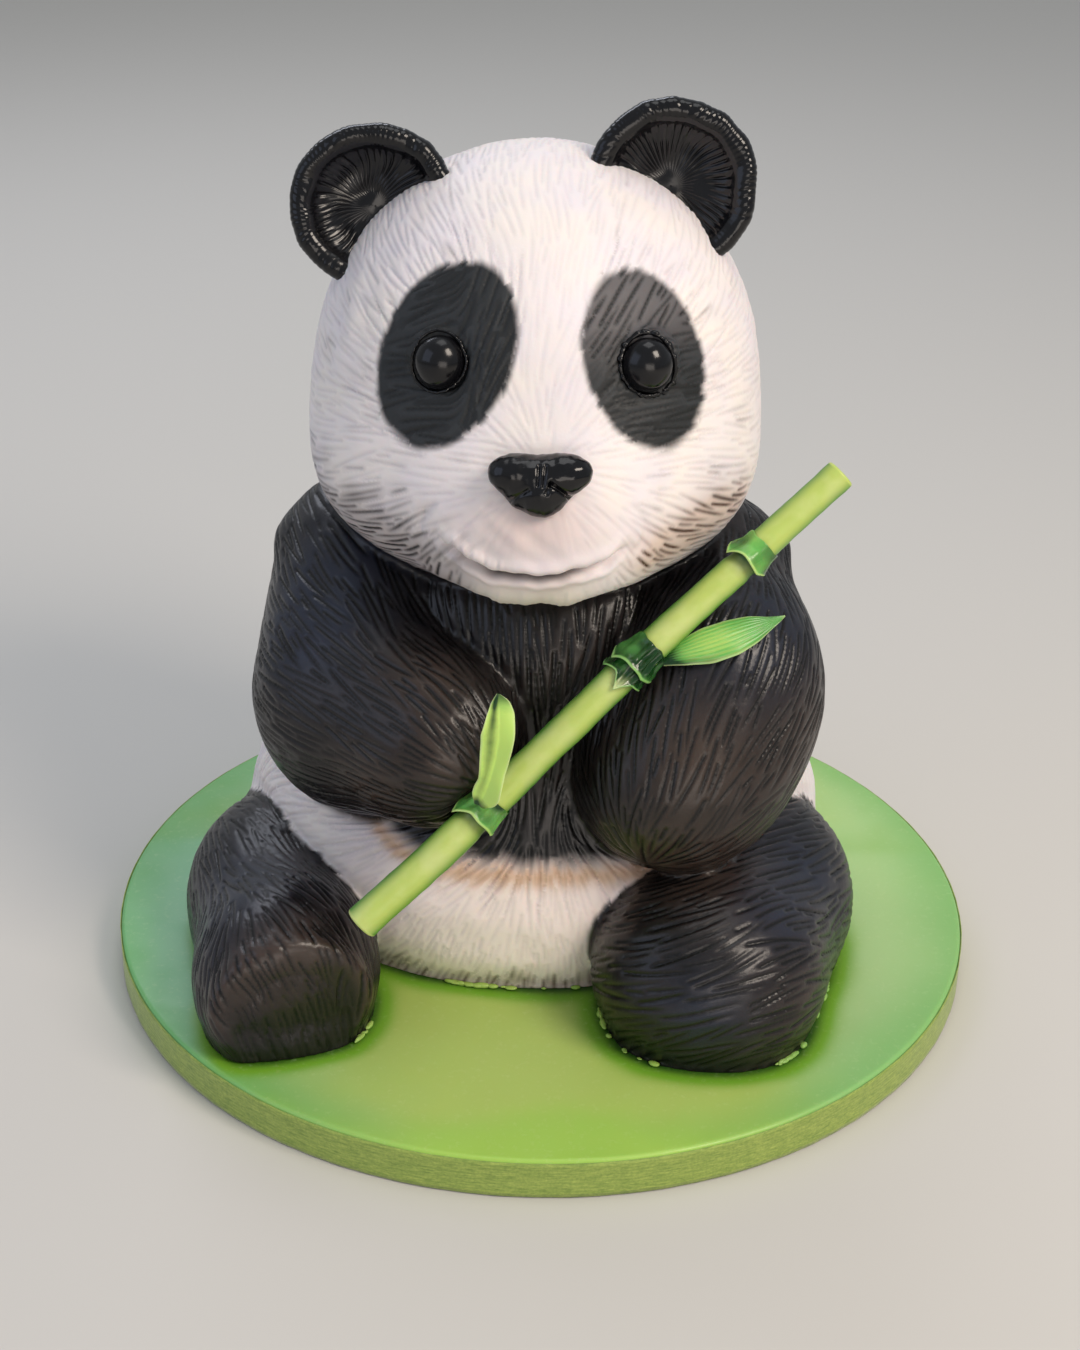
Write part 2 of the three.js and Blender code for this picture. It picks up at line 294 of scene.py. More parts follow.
node("OutputMaterial", {"Surface": paste})

# The drum shows only underneath and as the line below the ribbon: foil paper embossed with 4.5 mm cells.
DRUM_EDGE = 0.6
FOIL_CELL = 4.5
drum_profile = [
    [0.5, 0],
    [drum_high[0] - DRUM_EDGE, 0],
    [drum_high[0], DRUM_EDGE],
    [drum_high[0], drum_high[2] - DRUM_EDGE],
    [drum_high[0] - DRUM_EDGE, drum_high[2]],
    [0.5, drum_high[2]],
]
FOIL_PAPER, node = new_material("embossed_foil_paper")
place = node("TexCoord").outputs["Object"]
cells = node("TexVoronoi", {"Vector": place, "Scale": 1000 / FOIL_CELL})
emboss = node("Bump", {"Strength": 0.4, "Distance": 0.0003, "Height": cells})
silver = node("Mix", {0: cells, 6: linear("#C9CBC8"), 7: linear("#E3E4E1")}, data_type="RGBA")
foil = node(
    "BsdfPrincipled", {"Base Color": silver, "Roughness": 0.3, "Metallic": 0.7, "Normal": emboss}
)
node("OutputMaterial", {"Surface": foil})
drum_points, drum_faces = turned(drum_profile, 240)
add_piece("drum_base", drum_points, drum_faces, FOIL_PAPER, "drum_board", "board_drum")

# The ribbon: 15 mm of taffeta whose ends lap over by 20 mm at the back.
RIBBON_STEPS = 480
RIBBON_PLY = 0.35
LAP = 20 / ribbon_high[0]  # as an angle
THREAD_GAP = 0.7  # mm, as drawn
BACK = math.pi / 2
angles = np.linspace(BACK, BACK + 2 * math.pi + LAP, RIBBON_STEPS)
over = ease(BACK + 2 * math.pi - 0.05, BACK + 2 * math.pi, angles) * RIBBON_PLY
ripple = 0.05 * np.sin(angles * 37) + 0.04 * np.sin(angles * 91 + 1)
inner = ribbon_high[0] - 0.9 + over + ripple
heights = np.linspace(ribbon_low[2], ribbon_high[2], 10)
rows = [(inner + RIBBON_PLY, height) for height in heights] + [(inner, h) for h in heights[::-1]]
ribbon_points = np.array(
    [[r * np.cos(angles), r * np.sin(angles), height + 0 * angles] for r, height in rows]
)
ribbon_points = ribbon_points.transpose(0, 2, 1).reshape(-1, 3)

# Taffeta is a plain weave, matte with uneven threads: 0.35 mm apart, drawn at 0.7 mm so that it shows.
TAFFETA, node = new_material("taffeta_ribbon")
place = node("TexCoord").outputs["Object"]
drawn_out = node("Mapping", {"Vector": place, "Scale": (1, 1, 6)})
slub = node("TexNoise", {"Vector": drawn_out, "Scale": 200, "Detail": 4.0, "Roughness": 0.7})
speckle = node("TexNoise", {"Vector": place, "Scale": 900})
thread = node(
    "TexWave",
    {"Vector": place, "Scale": 1000 / THREAD_GAP / 6.283, "Distortion": 0.6, "Detail": 1.0},
    bands_direction="Z",
)
share = node("MapRange", {"Value": slub, "From Min": 0.3, "From Max": 0.7})
green = node("Mix", {0: share, 6: linear("#7A9440"), 7: linear("#AEBF5E")}, data_type="RGBA")
share = node("MapRange", {"Value": speckle, "From Min": 0.35, "From Max": 0.7, "To Max": 0.35})
green = node("Mix", {0: share, 6: green, 7: linear("#5A7632")}, data_type="RGBA")
weave = node("Bump", {"Strength": 0.25, "Distance": 0.0002, "Height": thread.outputs["Fac"]})
cloth = node(
    "BsdfPrincipled",
    {
        "Base Color": green,
        "Roughness": 0.62,
        "Sheen Weight": 0.25,
        "Sheen Roughness": 0.4,
        "Normal": weave,
    },
)
node("OutputMaterial", {"Surface": cloth})
ribbon_faces = woven(len(rows), RIBBON_STEPS, closed_rows=True)
add_piece("board_ribbon", ribbon_points, ribbon_faces, TAFFETA, "ribbon_green", "edge_ribbon")

# ---------------------------------------------------------------------------------------------------
# The figure's body: carved cake and cereal treat, each limb made apart, set against the trunk and
# covered with 4 mm of sugar paste. The paste is pressed together, so every joint is a soft crease.
# ---------------------------------------------------------------------------------------------------
PITCH = 1.42  # mm between the points of the grid in which the forms are joined
BAND = 11  # steps to each side of a surface over which its distance is worked out
FORMS = ["trunk", "tail", "leg_right", "leg_left", "arm_right", "arm_left", "head"]
OF = {node: i for i, node in enumerate(FORMS)}
SEAT = BOARD_TOP - 0.6  # the figure is pressed a little into the board's paste
CREASE = 4.5  # how softly two forms meet, in mm
SHOULDER = 26.0  # and how softly the arms run into the shoulders

lows, highs = zip(*(box_mm(node) for node in FORMS))
GRID_START = np.floor(np.min(lows, 0) / PITCH).astype(int) - BAND
GRID_SHAPE = np.ceil(np.max(highs, 0) / PITCH).astype(int) + BAND - GRID_START


def distance_grid(node, pitch, start, shape):
    """The distance outside a CAD solid, in millimetres, at each point of a grid."""
    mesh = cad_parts[node].data
    mesh.calc_loop_triangles()
    points = np.empty(len(mesh.vertices) * 3, np.float32)
    mesh.vertices.foreach_get("co", points)
    triangles = np.empty(len(mesh.loop_triangles) * 3, np.int32)
    mesh.loop_triangles.foreach_get("vertices", triangles)
    level = openvdb.FloatGrid.createLevelSetFromPolygons(
        points.reshape(-1, 3) / MM,
        triangles=triangles.reshape(-1, 3).astype(np.uint32),
        transform=openvdb.createLinearTransform(pitch),
        halfWidth=BAND,
    )
    distance = np.empty(tuple(shape), np.float32)
    level.copyToArray(distance, ijk=tuple(int(i) for i in start))
    return distance


def rounded(field, reach, passes=3):
    """The field averaged over nearby points, which rounds off facets and sharp edges."""
    for _ in range(passes):
        for axis in range(3):
            edges = [(reach, reach) if i == axis else (0, 0) for i in range(3)]
            wide = np.moveaxis(np.pad(field, edges, mode="edge"), axis, 0)
            size = field.shape[axis]
            summed = sum(wide[k : k + size] for k in range(2 * reach + 1))
            field = np.moveaxis(summed / (2 * reach + 1), 0, axis)
    return np.ascontiguousarray(field, np.float32)


def soft_union(first, second, blend):
    mix = np.maximum(blend - np.abs(first - second), 0) / blend
    return np.minimum(first, second) - mix * mix * blend / 4


def sampled(field, points, pitch=PITCH, start=GRID_START):
    """A grid's value at each point, blended from the eight around it."""
    spot = np.clip(points / pitch - start, 0, np.array(field.shape) - 1.001)
    cell = spot.astype(int)
    share = spot - cell
    total = np.zeros(len(points))
    for corner in np.ndindex(2, 2, 2):
        i, j, k = (cell + corner).T
        total += np.prod(np.where(corner, share, 1 - share), 1) * field[i, j, k]
    return total


def cut_in_four(points, quads):
    """A closed net of quads, each cut in four, with its points moved to where the surface is smooth."""
    count = len(points)
    face_middles = points[quads].mean(1)
    ends = np.sort(np.stack([quads, np.roll(quads, -1, 1)], -1).reshape(-1, 2), 1).astype(np.int64)
    edges, edge_of = np.unique(ends[:, 0] * count + ends[:, 1], return_inverse=True)
    ends = np.stack([edges // count, edges % count], 1)
    edge_middles = points[ends].mean(1)

    def gathered(index, values, size):
        sums = np.stack([np.bincount(index, values[:, i], size) for i in range(3)], 1)
        return sums / np.bincount(index, minlength=size)[:, None]

    beside = np.repeat(face_middles, 4, 0)
    edge_points = (edge_middles + gathered(edge_of, beside, len(edges))) / 2
    valence = np.bincount(quads.ravel(), minlength=count)[:, None]
    around = gathered(quads.ravel(), beside, count)
    along = gathered(ends.ravel(), np.repeat(edge_middles, 2, 0), count)
    moved = (around + 2 * along + (valence - 3) * points) / valence
    edge_of = edge_of.reshape(-1, 4) + count
    middle = np.arange(len(quads)) + count + len(edges)
    parts = [np.stack([quads[:, i], edge_of[:, i], middle, edge_of[:, i - 1]], 1) for i in range(4)]
    return np.concatenate([moved, edge_points, face_middles]), np.concatenate(parts)


def surface_of(field, pitch=PITCH, start=GRID_START):
    """Points and quads over the field's zero level."""
    background = 3.0 * pitch
    grid = openvdb.FloatGrid(background)
    grid.copyFromArray(np.clip(field, -background, background), ijk=tuple(int(i) for i in start))
    grid.transform = openvdb.createLinearTransform(pitch)
    grid.gridClass = openvdb.GridClass.LEVEL_SET
    points, _, quads = grid.convertToPolygons(isovalue=0.0, adaptivity=0.0)
    return cut_in_four(points.astype(float), quads.astype(np.int64)[:, ::-1])


# The flat undersides are mirrored in the board before rounding, so that the sides meet it squarely.
seat_row = int(round(SEAT / PITCH)) - GRID_START[2] + 1
forms = {}
for name in FORMS:
    form = distance_grid(name, PITCH, GRID_START, GRID_SHAPE)
    form[:, :, :seat_row] = form[:, :, seat_row : 2 * seat_row][:, :, ::-1]
    forms[name] = rounded(form, 2)

x_mm, y_mm, z_mm = (
    (np.arange(GRID_SHAPE[axis]) + GRID_START[axis]).reshape([-1 if i == axis else 1 for i in range(3)])
    * PITCH
    for axis in range(3)
)
# The sockets are filled from behind, so that each eye sits proud with only a crease round it.
PLUG_BEHIND = 6.5
PLUG_RADIUS = 11.5
for name in ("eye_right", "eye_left"):
    low, high = box_mm(name)
    at = (low + high) / 2 + (0, PLUG_BEHIND, 0)
    axes = zip((x_mm, y_mm, z_mm), at, (1, 0.8, 1))
    plug = np.sqrt(sum(((axis - middle) / squash) ** 2 for axis, middle, squash in axes))
    forms["head"] = soft_union(forms["head"], plug - PLUG_RADIUS, 3)
head_low, head_high = box_mm("head")
rear = np.maximum(
    ease(head_low[2] - 4, head_low[2] + 22, z_mm) * ease(-45, 10, y_mm), ease(18, 42, y_mm) + 0 * z_mm
)
figure = soft_union(forms["trunk"], forms["tail"], CREASE * 1.6)
for name in ("leg_right", "leg_left"):
    figure = soft_union(figure, forms[name], CREASE + 10 * ease(-10, 30, y_mm))
for name in ("arm_right", "arm_left"):
    figure = soft_union(figure, forms[name], CREASE + (SHOULDER - CREASE) * rear)
figure = soft_union(figure, forms["head"], CREASE)
figure = np.maximum(figure, SEAT - z_mm).astype(np.float32)
slope = [part.astype(np.float32) for part in np.gradient(figure, PITCH)]


def unit(ways):
    return ways / np.maximum(np.linalg.norm(ways, axis=1, keepdims=True), 1e-6)


def outward(points):
    """The direction straight out of the figure's surface at each point."""
    return unit(np.stack([sampled(part, points) for part in slope], 1))


skin_points, skin_quads = surface_of(figure)
skin_normals = outward(skin_points)
near = np.stack([sampled(forms[name], skin_points) for name in FORMS], 1)
owner = near.argmin(1)

# ---------------------------------------------------------------------------------------------------
# The coat: strokes drawn one by one into the damp paste with a veining tool, in the way that the fur
# lies. They run out from the nose on the head and down to the paws on the arms, and none cross.
# ---------------------------------------------------------------------------------------------------
nose_low, nose_high = box_mm("nose")
NOSE = (nose_low + nose_high) / 2
EYES = {side: sum(box_mm("eye_" + side)) / 2 for side in ("right", "left")}
UP = np.array([0, math.sin(CAMERA_PITCH), math.cos(CAMERA_PITCH)])  # up the slope of the face
PAWS = {"arm_right": np.array([-16.0, -96, 120]), "arm_left": np.array([34.0, -100, 78])}


def oval(points, side, tall, wide, lean, aside, lift):
    """How far inside the dark patch round an eye each point is, in millimetres."""
    offset = points - EYES[side]
    across = offset[:, 0] - aside
    up = offset @ UP - lift
    c, s = math.cos(math.radians(lean)), math.sin(math.radians(lean))
    reach = np.hypot((up * c + across * s) / tall, (across * c - up * s) / wide)
    return (1 - reach) * wide


def patches(points):
    """How far inside either eye patch each point is."""
    front = np.where(points[:, 1] < NOSE[1] + 85, 0, -99)
    right = oval(points, "right", 33.5, 24.0, 20, 2.2, 3.0)
    left = oval(points, "left", 32.0, 21.5, -15, -0.8, 2.6)
    return np.maximum(right, left) + front


def flow(points, normals, parts):
    """The way in which the tool was drawn at each point, along the surface."""
    way = np.tile([0.0, 0.0, -1.0], (len(points), 1))
    head = parts == OF["head"]
    way[head] = points[head] - NOSE - (0, 0, 6)
    behind = ease(10, 70, points[:, 1:2])
    way = unit(way) * (1 - behind) + (0, 0.1, -1) * behind
    # On the right patch the strokes turn from level to upright, and on the left one from a slant above
    # the eye to nearly level below it.
    inside = ease(-1, 2, patches(points))[:, None] * head[:, None]
    on_left = points[:, 0] > NOSE[0]
    offset = points - np.where(on_left[:, None], EYES["left"], EYES["right"])
    slanting = -0.8 * offset[:, 0] + 0.6 * (offset @ UP)
    fan = np.where(on_left, 12 + 40 * ease(-2, 7, slanting), 5 + 70 * ease(0, 12, offset[:, 0]))
    fan = np.radians(fan)[:, None]
    across = np.cos(fan) * np.array([1.0, 0, 0]) + np.sin(fan) * UP
    way = unit(way) * (1 - inside) + across * inside
    # The chest is drawn in towards the paws, and the belly spreads out from under them.
    low = ease(116, 78, points[:, 2:3])
    gathered = unit((-2, -100, 20) - points) * (1 - low) + unit(points - (2, -104, 124)) * low
    in_front = ease(10, -30, points[:, 1:2]) * (parts == OF["trunk"])[:, None]
    way = way * (1 - in_front) + gathered * in_front
    for name, paw in PAWS.items():
        arm = ease(45, 5, points[:, 1:2]) * (parts == OF[name])[:, None]
        way = way * (1 - arm) + unit(paw - points) * arm
    # Round the left leg the strokes are level; down the right one they lean in and drop over the toes.
    leg = parts == OF["leg_left"]
    way[leg] = np.cross((-0.3, 0.45, 0.84), normals[leg])
    leg = parts == OF["leg_right"]
    over_toes = ease(-66, -112, points[leg, 1:2])
    way[leg] = (0.5, -0.85, -0.2) * (1 - over_toes) + (0.38, -0.3, -0.87) * over_toes
    way = unit(way) + 0.13 * np.stack([soft_noise(points, 38, seed) for seed in (5, 6, 7)], 1)
    way -= (way * normals).sum(1, keepdims=True) * normals
    return unit(way)


# For each form: mm between strokes, shortest, longest, depth and half width.
TOOL = {
    "trunk": (2.2, 9, 36, 1.0, 0.74),
    "tail": (2.0, 7, 20, 0.5, 0.66),
    "leg_right": (2.1, 8, 26, 0.66, 0.7),
    "leg_left": (2.5, 9, 34, 0.74, 0.8),
    "arm_right": (2.1, 8, 28, 0.72, 0.72),
    "arm_left": (2.1, 8, 30, 0.72, 0.72),
    "head": (2.0, 8, 28, 0.4, 0.7),
}
STEP = 0.9  # mm between the points of a stroke
LANE = 0.38  # how far out a stroke keeps others off, and the size of the cells in which
CELL = 0.52  # its room is noted, both as shares of the gap between strokes
TRIES = 70000
BROW = (14, -80, 296)
NUMBERED = 4096  # more cells than lie across the figure, so that each one has its own number
closest = np.minimum.reduce(list(forms.values()))


def drawn_strokes():
    """The points of every stroke, each with its depth, half width and stroke number."""
    hand = np.random.default_rng(71)
    seeds = hand.choice(len(skin_points), TRIES)
    parts = owner[seeds]
    gap, shortest, longest, depth, half = np.array([TOOL[name] for name in FORMS])[parts].T
    length = hand.uniform(shortest, longest)
    twist = hand.normal(0, 0.1, TRIES)
    spot = skin_points[seeds]
    belly = (parts == OF["trunk"]) & (spot[:, 2] < 80)  # finer and shorter there
    patch = (parts == OF["head"]) & (patches(spot) > 0)  # and bolder on the patches
    gap = np.where(belly, 1.7, np.where(patch, 2.1, gap))
    half = np.where(patch, 0.58, half)
    brow = (parts == OF["head"]) * np.exp(-((spot - BROW) ** 2).sum(1) / (2 * 36**2))
    length = np.where(belly, length * 0.5, length)
    depth = depth * hand.uniform(0.6, 1.2, TRIES) * np.where(belly, 0.35, np.where(patch, 1.6, 1))
    depth = depth * (1 - 0.65 * brow * ~patch)  # smoothed over between the eyes and on the brow
    track, lanes, kept = [], [], []
    for _ in range(int(longest.max() / STEP) + 1):
        normal = outward(spot)
        spot = spot - sampled(figure, spot)[:, None] * normal
        way = flow(spot, normal, parts)
        off_form = -sampled(closest, spot)
        for part, name in enumerate(FORMS):
            off_form[parts == part] += sampled(forms[name], spot[parts == part])
        kept.append(off_form < 1.2)  # a stroke ends in the crease where its form does
        side = np.cross(normal, way)
        track.append(spot)
        lanes.append(side * (gap * LANE)[:, None])
        spot = spot + (way * np.cos(twist)[:, None] + side * np.sin(twist)[:, None]) * STEP
    track = np.array(track).transpose(1, 0, 2)
    lanes = np.array(lanes).transpose(1, 0, 2)
    kept = np.array(kept).T
    cell = (gap * CELL)[:, None, None]
    lines = (track, track + lanes, track - lanes)
    cells = [np.floor(line / cell).astype(int) + NUMBERED // 2 for line in lines]
    cells = [(c[..., 0] * NUMBERED + c[..., 1]) * NUMBERED + c[..., 2] for c in cells]
    taken = set()
    strokes = []
    for i in np.argsort(-length):  # the long strokes come first, and short ones fill in between
        run = 0
        for key, mine in zip(cells[0][i, : int(length[i] / STEP)].tolist(), kept[i]):
            if key in taken or not mine:
                break
            run += 1
        if run * STEP < max(length[i] * 0.62, shortest[i] * 0.5):
            continue
        for lane in cells:
            taken.update(lane[i, :run].tolist())
        share = (np.arange(run) + 0.5) / run
        taper = np.minimum(share / 0.1, 1) * np.minimum((1 - share) / 0.3, 1) ** 0.6
        stroke = len(strokes) * np.ones(run, int)
        strokes.append((track[i, :run], depth[i] * taper, half[i] + 0 * share, stroke))
    return [np.concatenate(column) for column in zip(*strokes)]


stroke_points, stroke_depths, stroke_halves, stroke_numbers = drawn_strokes()
stroke_tree = KDTree(len(stroke_points))
for i, spot in enumerate(stroke_points):
    stroke_tree.insert(spot, i)
stroke_tree.balance()
found = [stroke_tree.find(point) for point in skin_points]
nearest = np.array([hit[1] for hit in found])
away = np.array([hit[2] for hit in found])
ratio = away / stroke_halves[nearest]
groove = stroke_depths[nearest] * np.exp(-(ratio**2))
# Each stroke takes the colour a little differently; that is what makes an edge of colour look furred.
hair = np.random.default_rng(9).uniform(-1, 1, stroke_numbers.max() + 1)[stroke_numbers[nearest]]
hair = hair * np.exp(-((away / 3.5) ** 2))


def band(value, middle, width):
    return np.exp(-(((value - middle) / width) ** 2))


# The right foot's sole is pressed flat, which leaves a raised edge over the toes.
TOES = (-93, -118, 35)
toes = np.linalg.norm(skin_points - TOES, axis=1)
toe_edge = band(toes, 29, 3.8) * (owner == OF["leg_right"]) * ease(20, 40, skin_points[:, 2])
in_sole = ease(29, 19, toes) * (owner == OF["leg_right"])
sole = 2.6 * toe_edge - 3.4 * in_sole * ease(18, 32, skin_points[:, 2])

# ---------------------------------------------------------------------------------------------------
# The face: white paste modelled over the head. The mouth is a deep cut with a rolled lip above and a
# lumpy lip below, and each eye has a pressed socket with a rough collar of paste round it.
# ---------------------------------------------------------------------------------------------------
MOUTH = NOSE + np.array([-2.6, 3.0, -37.0])
SMILE_HALF = 33.5
SMILE_RISE = 12.5
on_head = owner == OF["head"]
offset = skin_points - MOUTH
aside = offset[:, 0]
above = offset @ UP
front = ease(NOSE[1] + 62, NOSE[1] + 30, skin_points[:, 1]) * on_head
bend = np.abs(aside / SMILE_HALF)
smile = SMILE_RISE * bend**2.3 * (1 - 0.12 * np.sign(aside))
steep = np.sqrt(1 + (2.3 * SMILE_RISE * bend**1.3 / SMILE_HALF) ** 2)
over_lip = (above - smile) / steep + 0.35 * np.sin(aside / 3.1) + 0.2 * np.sin(aside / 1.3)
along_lip = ease(SMILE_HALF + 4, SMILE_HALF - 9, np.abs(aside)) * front

lips = -4.2 * along_lip * band(over_lip, -0.3, 1.0)
roll = 1 + 0.25 * np.sin(aside / 4.4 + 1)
roll = roll + 0.35 * soft_noise(aside[:, None], 2.2, 26) * band(aside, -19, 9)
lips += 1.6 * along_lip * band(over_lip, 3.0, 1.9) * roll
lips += 0.9 * along_lip * band(over_lip, -2.6, 1.2)
# The chin is pinched into soft lumps about 8 mm wide, no two alike, with a few finer folds.
chin = ease(27, 11, np.abs(aside)) * front
across = np.stack([aside, over_lip * 0.4], 1)
lump = soft_noise(across, 6.2, 24)
lips += 1.9 * chin * band(over_lip, -9.5, 4.5)
lips += chin * (0.9 * band(over_lip, -6.4, 2.2) + 0.5 * band(over_lip, -9, 3)) * lump
lips += 0.2 * chin * band(over_lip, -7.0, 2.5) * soft_noise(across, 2.3, 25)
# A fold rises into the cheek at each corner, and fingertips left soft dimples on the muzzle.
corner = np.hypot(np.abs(aside) - SMILE_HALF + 1, above - SMILE_RISE - 5)
lips -= 0.9 * front * band(corner, 8, 1.6) * ease(2, 6, np.abs(aside) - SMILE_HALF + 3)
muzzle = front * np.exp(-((aside / 24) ** 2) - ((above - 17) / 13) ** 2)
lips += muzzle * (1.0 + 0.75 * soft_noise(skin_points, 7.5, 15))

sockets = np.zeros(len(skin_points))
for side, eye in EYES.items():
    ring = (skin_points - eye) * (1, 0.6, 1)
    turn = np.arctan2(ring @ UP, ring[:, 0])
    ring = np.linalg.norm(ring, axis=1)
    rough = soft_noise(np.stack([np.cos(turn), np.sin(turn)], 1) * 10, 5, 11 if side == "left" else 12)
    collar = 0.5 + rough * 0.6 if side == "left" else 0.3 + rough * 0.1
    sockets -= 1.5 * band(ring, 9.0, 0.8)
    sockets += collar * band(ring, 11.0 + 0.5 * rough, 1.1)

# The strokes fade out on the lips and against the board, and the paste under them is not quite even.
groove *= 1 - np.clip(band(over_lip, 0, 7) * along_lip * 1.3, 0, 0.9)
groove *= 1 - 0.9 * front * band(np.hypot(aside / 1.3, above - 12), 0, 14)
groove *= 1 - 0.9 * chin * band(over_lip, -7, 6)
standing = skin_points[:, 2] > SEAT + 1
uneven = soft_noise(skin_points, 34, 21) * 0.35 + soft_noise(skin_points, 11, 22) * 0.14
TEMPLE = (-76, -22, 276)
temple = np.exp(-((skin_points - TEMPLE) ** 2).sum(1) / (2 * 17**2))
uneven += temple * 0.75 * soft_noise(skin_points, 9, 23)  # the paste is wrinkled over the right temple
lift = (lips + sockets + sole - groove + uneven) * standing
carved = skin_points + skin_normals * lift[:, None]

# ---------------------------------------------------------------------------------------------------
# The covering: white sugar paste on head, belly and tail, and black on limbs, chest and shoulders. The
# two are brushed into each other along the strokes, then shaded with brown and blue from an airbrush,
# with painted highlights, a painted sky reflection and painted shade laid in with them.
# ---------------------------------------------------------------------------------------------------
x, y, z = skin_points.T
MIDDLE = NOSE[0]
limbs = near[:, [OF[name] for name in ("leg_right", "leg_left", "arm_right", "arm_left")]].min(1)
arms = near[:, [OF["arm_right"], OF["arm_left"]]].min(1)
torso = np.minimum(near[:, OF["trunk"]], near[:, OF["tail"]])
to_head = near[:, OF["head"]] - np.minimum(limbs, torso)
ragged = hair * 2.0 + soft_noise(skin_points, 14, 31) * 1.0

# The white belly ends at 78 mm in front and rises to 118 mm at the sides and back.
belly_top = 78 + 40 * np.clip(ease(40, 105, np.abs(x - MIDDLE)) + ease(-20, 60, y), 0, 1)
# Under the arms in front the black runs down on to the trunk: black dust and painted shade.
under_arm = ease(5, 0, arms + ragged * 0.3) * ease(0, -40, y)
dark = np.maximum.reduce(
    [
        ease(-4, 5, z - belly_top + ragged * 0.7),
        ease(2.2, -1.5, limbs - torso + ragged * 0.8),
        under_arm,
    ]
)
jaw = np.clip(ease(16, 34, np.abs(aside)) + ease(-20, 20, y), 0, 1)
neckline = to_head + 5.5 * jaw * ease(30, -30, y)  # black dusted up on to the jaw, but not on the chin
dark *= 1 - ease(1.5, -1.5, neckline + ragged * 0.6 * jaw - 0.4)
dark = np.maximum(dark, ease(-1.5, 1.5, neckline + ragged * 0.6 * jaw - 0.4) * (to_head < 3))
patch = ease(-1.6, 1.2, patches(skin_points) + ragged * 0.3) * on_head
# Black dust with painted shade is brushed up the sides of the jaw from the neck.
jaw_dust_and_shade = ease(15, 1, -to_head + 2.0 * ragged) * jaw * ease(10, -30, y)
# Painted shade on the jaw's underside on the panda's right, where it faces down and away from the key.
under_jaw = skin_normals @ (np.array([-0.5, 0, 0]) - 0.87 * UP)
jaw_dust_and_shade = np.maximum(jaw_dust_and_shade, ease(0.45, 0.92, under_jaw + 0.05 * ragged) * ease(-12, -28, aside))
jaw_dust_and_shade *= ease(1.5, -1.5, to_head) * on_head
# Towards the board the white turns darker, olive and brown, more so in the strokes.
darker_at_base = ease(SEAT + 14, SEAT + 1, z + ragged * 1.6) * (1 - on_head)
edge_brown = band(z - belly_top + 0.7 * ragged, -4.5, 4.5) * ease(-20, -60, y)

AIRBRUSH_AND_SHEEN = {
    # tint: places in mm, each with the spread of its cloud
    # brown dust, with painted highlights on legs, arms and chest
    "warm": [
        (-91, -117, 59, 14), (-104, -122, 52, 11), (94, -100, 36, 15), (72, -80, 88, 16),
        (84, -60, 130, 16), (-44, -84, 168, 12), (-66, -92, 118, 12), (8, -84, 168, 14),
        (24, -84, 182, 10), (-34, -99, 138, 10), (56, -92, 136, 14), (44, -92, 96, 12),
    ],
    # blue dust, with a painted sky reflection on the tops of legs and shoulders
    "cool": [
        (-124, -76, 58, 24), (-85, -40, 182, 20), (-97, -55, 168, 14), (100, -60, 66, 18),
        (76, -60, 172, 18), (-24, -76, 186, 12), (60, -129, 44, 12), (90, -96, 72, 12),
    ],
    "orange": [
        (37, -77, 210, 7), (46, -66, 210, 8), (54, -58, 213, 8), (61, -51, 216, 7), (70, -38, 214, 7),
    ],
}
from_left_eye = skin_points - EYES["left"]
marks = {
    "dark": dark,
    "patch": patch,
    # the belly's pinkish cream, lightened further by painted light
    "belly": ease(86, 50, np.abs(x - MIDDLE)) * ease(-20, -50, y) * (z < 110),
    "darker_at_base": darker_at_base,
    "tanned": edge_brown,
    # the muzzle's pinkish beige, darkened further by painted shade under the nose
    "muzzle": muzzle + 0.5 * chin * band(over_lip, -3, 4),
    "chin": chin * band(over_lip, -8, 4),
    "jaw_dust_and_shade": jaw_dust_and_shade,
    # the grooves, and the right foot's sole that faces down, take painted shade
    "groove": np.maximum(np.clip(groove / 0.45, 0, 1), 0.6 * in_sole),
    # a painted shadow along the mouth's cut, under the upper lip
    "crease": along_lip * band(over_lip, -0.7, 0.8) * ease(25, 11, np.abs(aside + 1)),
    "hair": hair * 0.5 + 0.5,
    # The upper half of the left eye's patch is dusted more thinly, so that it looks grey.
    "bare": ease(-4, 22, from_left_eye @ UP - 0.3 * from_left_eye[:, 0]) * (x > MIDDLE),
}
for tint, spots in AIRBRUSH_AND_SHEEN.items():
    clouds = [np.exp(-((skin_points - spot[:3]) ** 2).sum(1) / (2 * spot[3] ** 2)) for spot in spots]
    marks[tint] = np.clip(sum(clouds), 0, 1)
# The raised edge over the toes takes brown dust and a painted highlight.
marks["warm"] = np.maximum(marks["warm"], toe_edge)
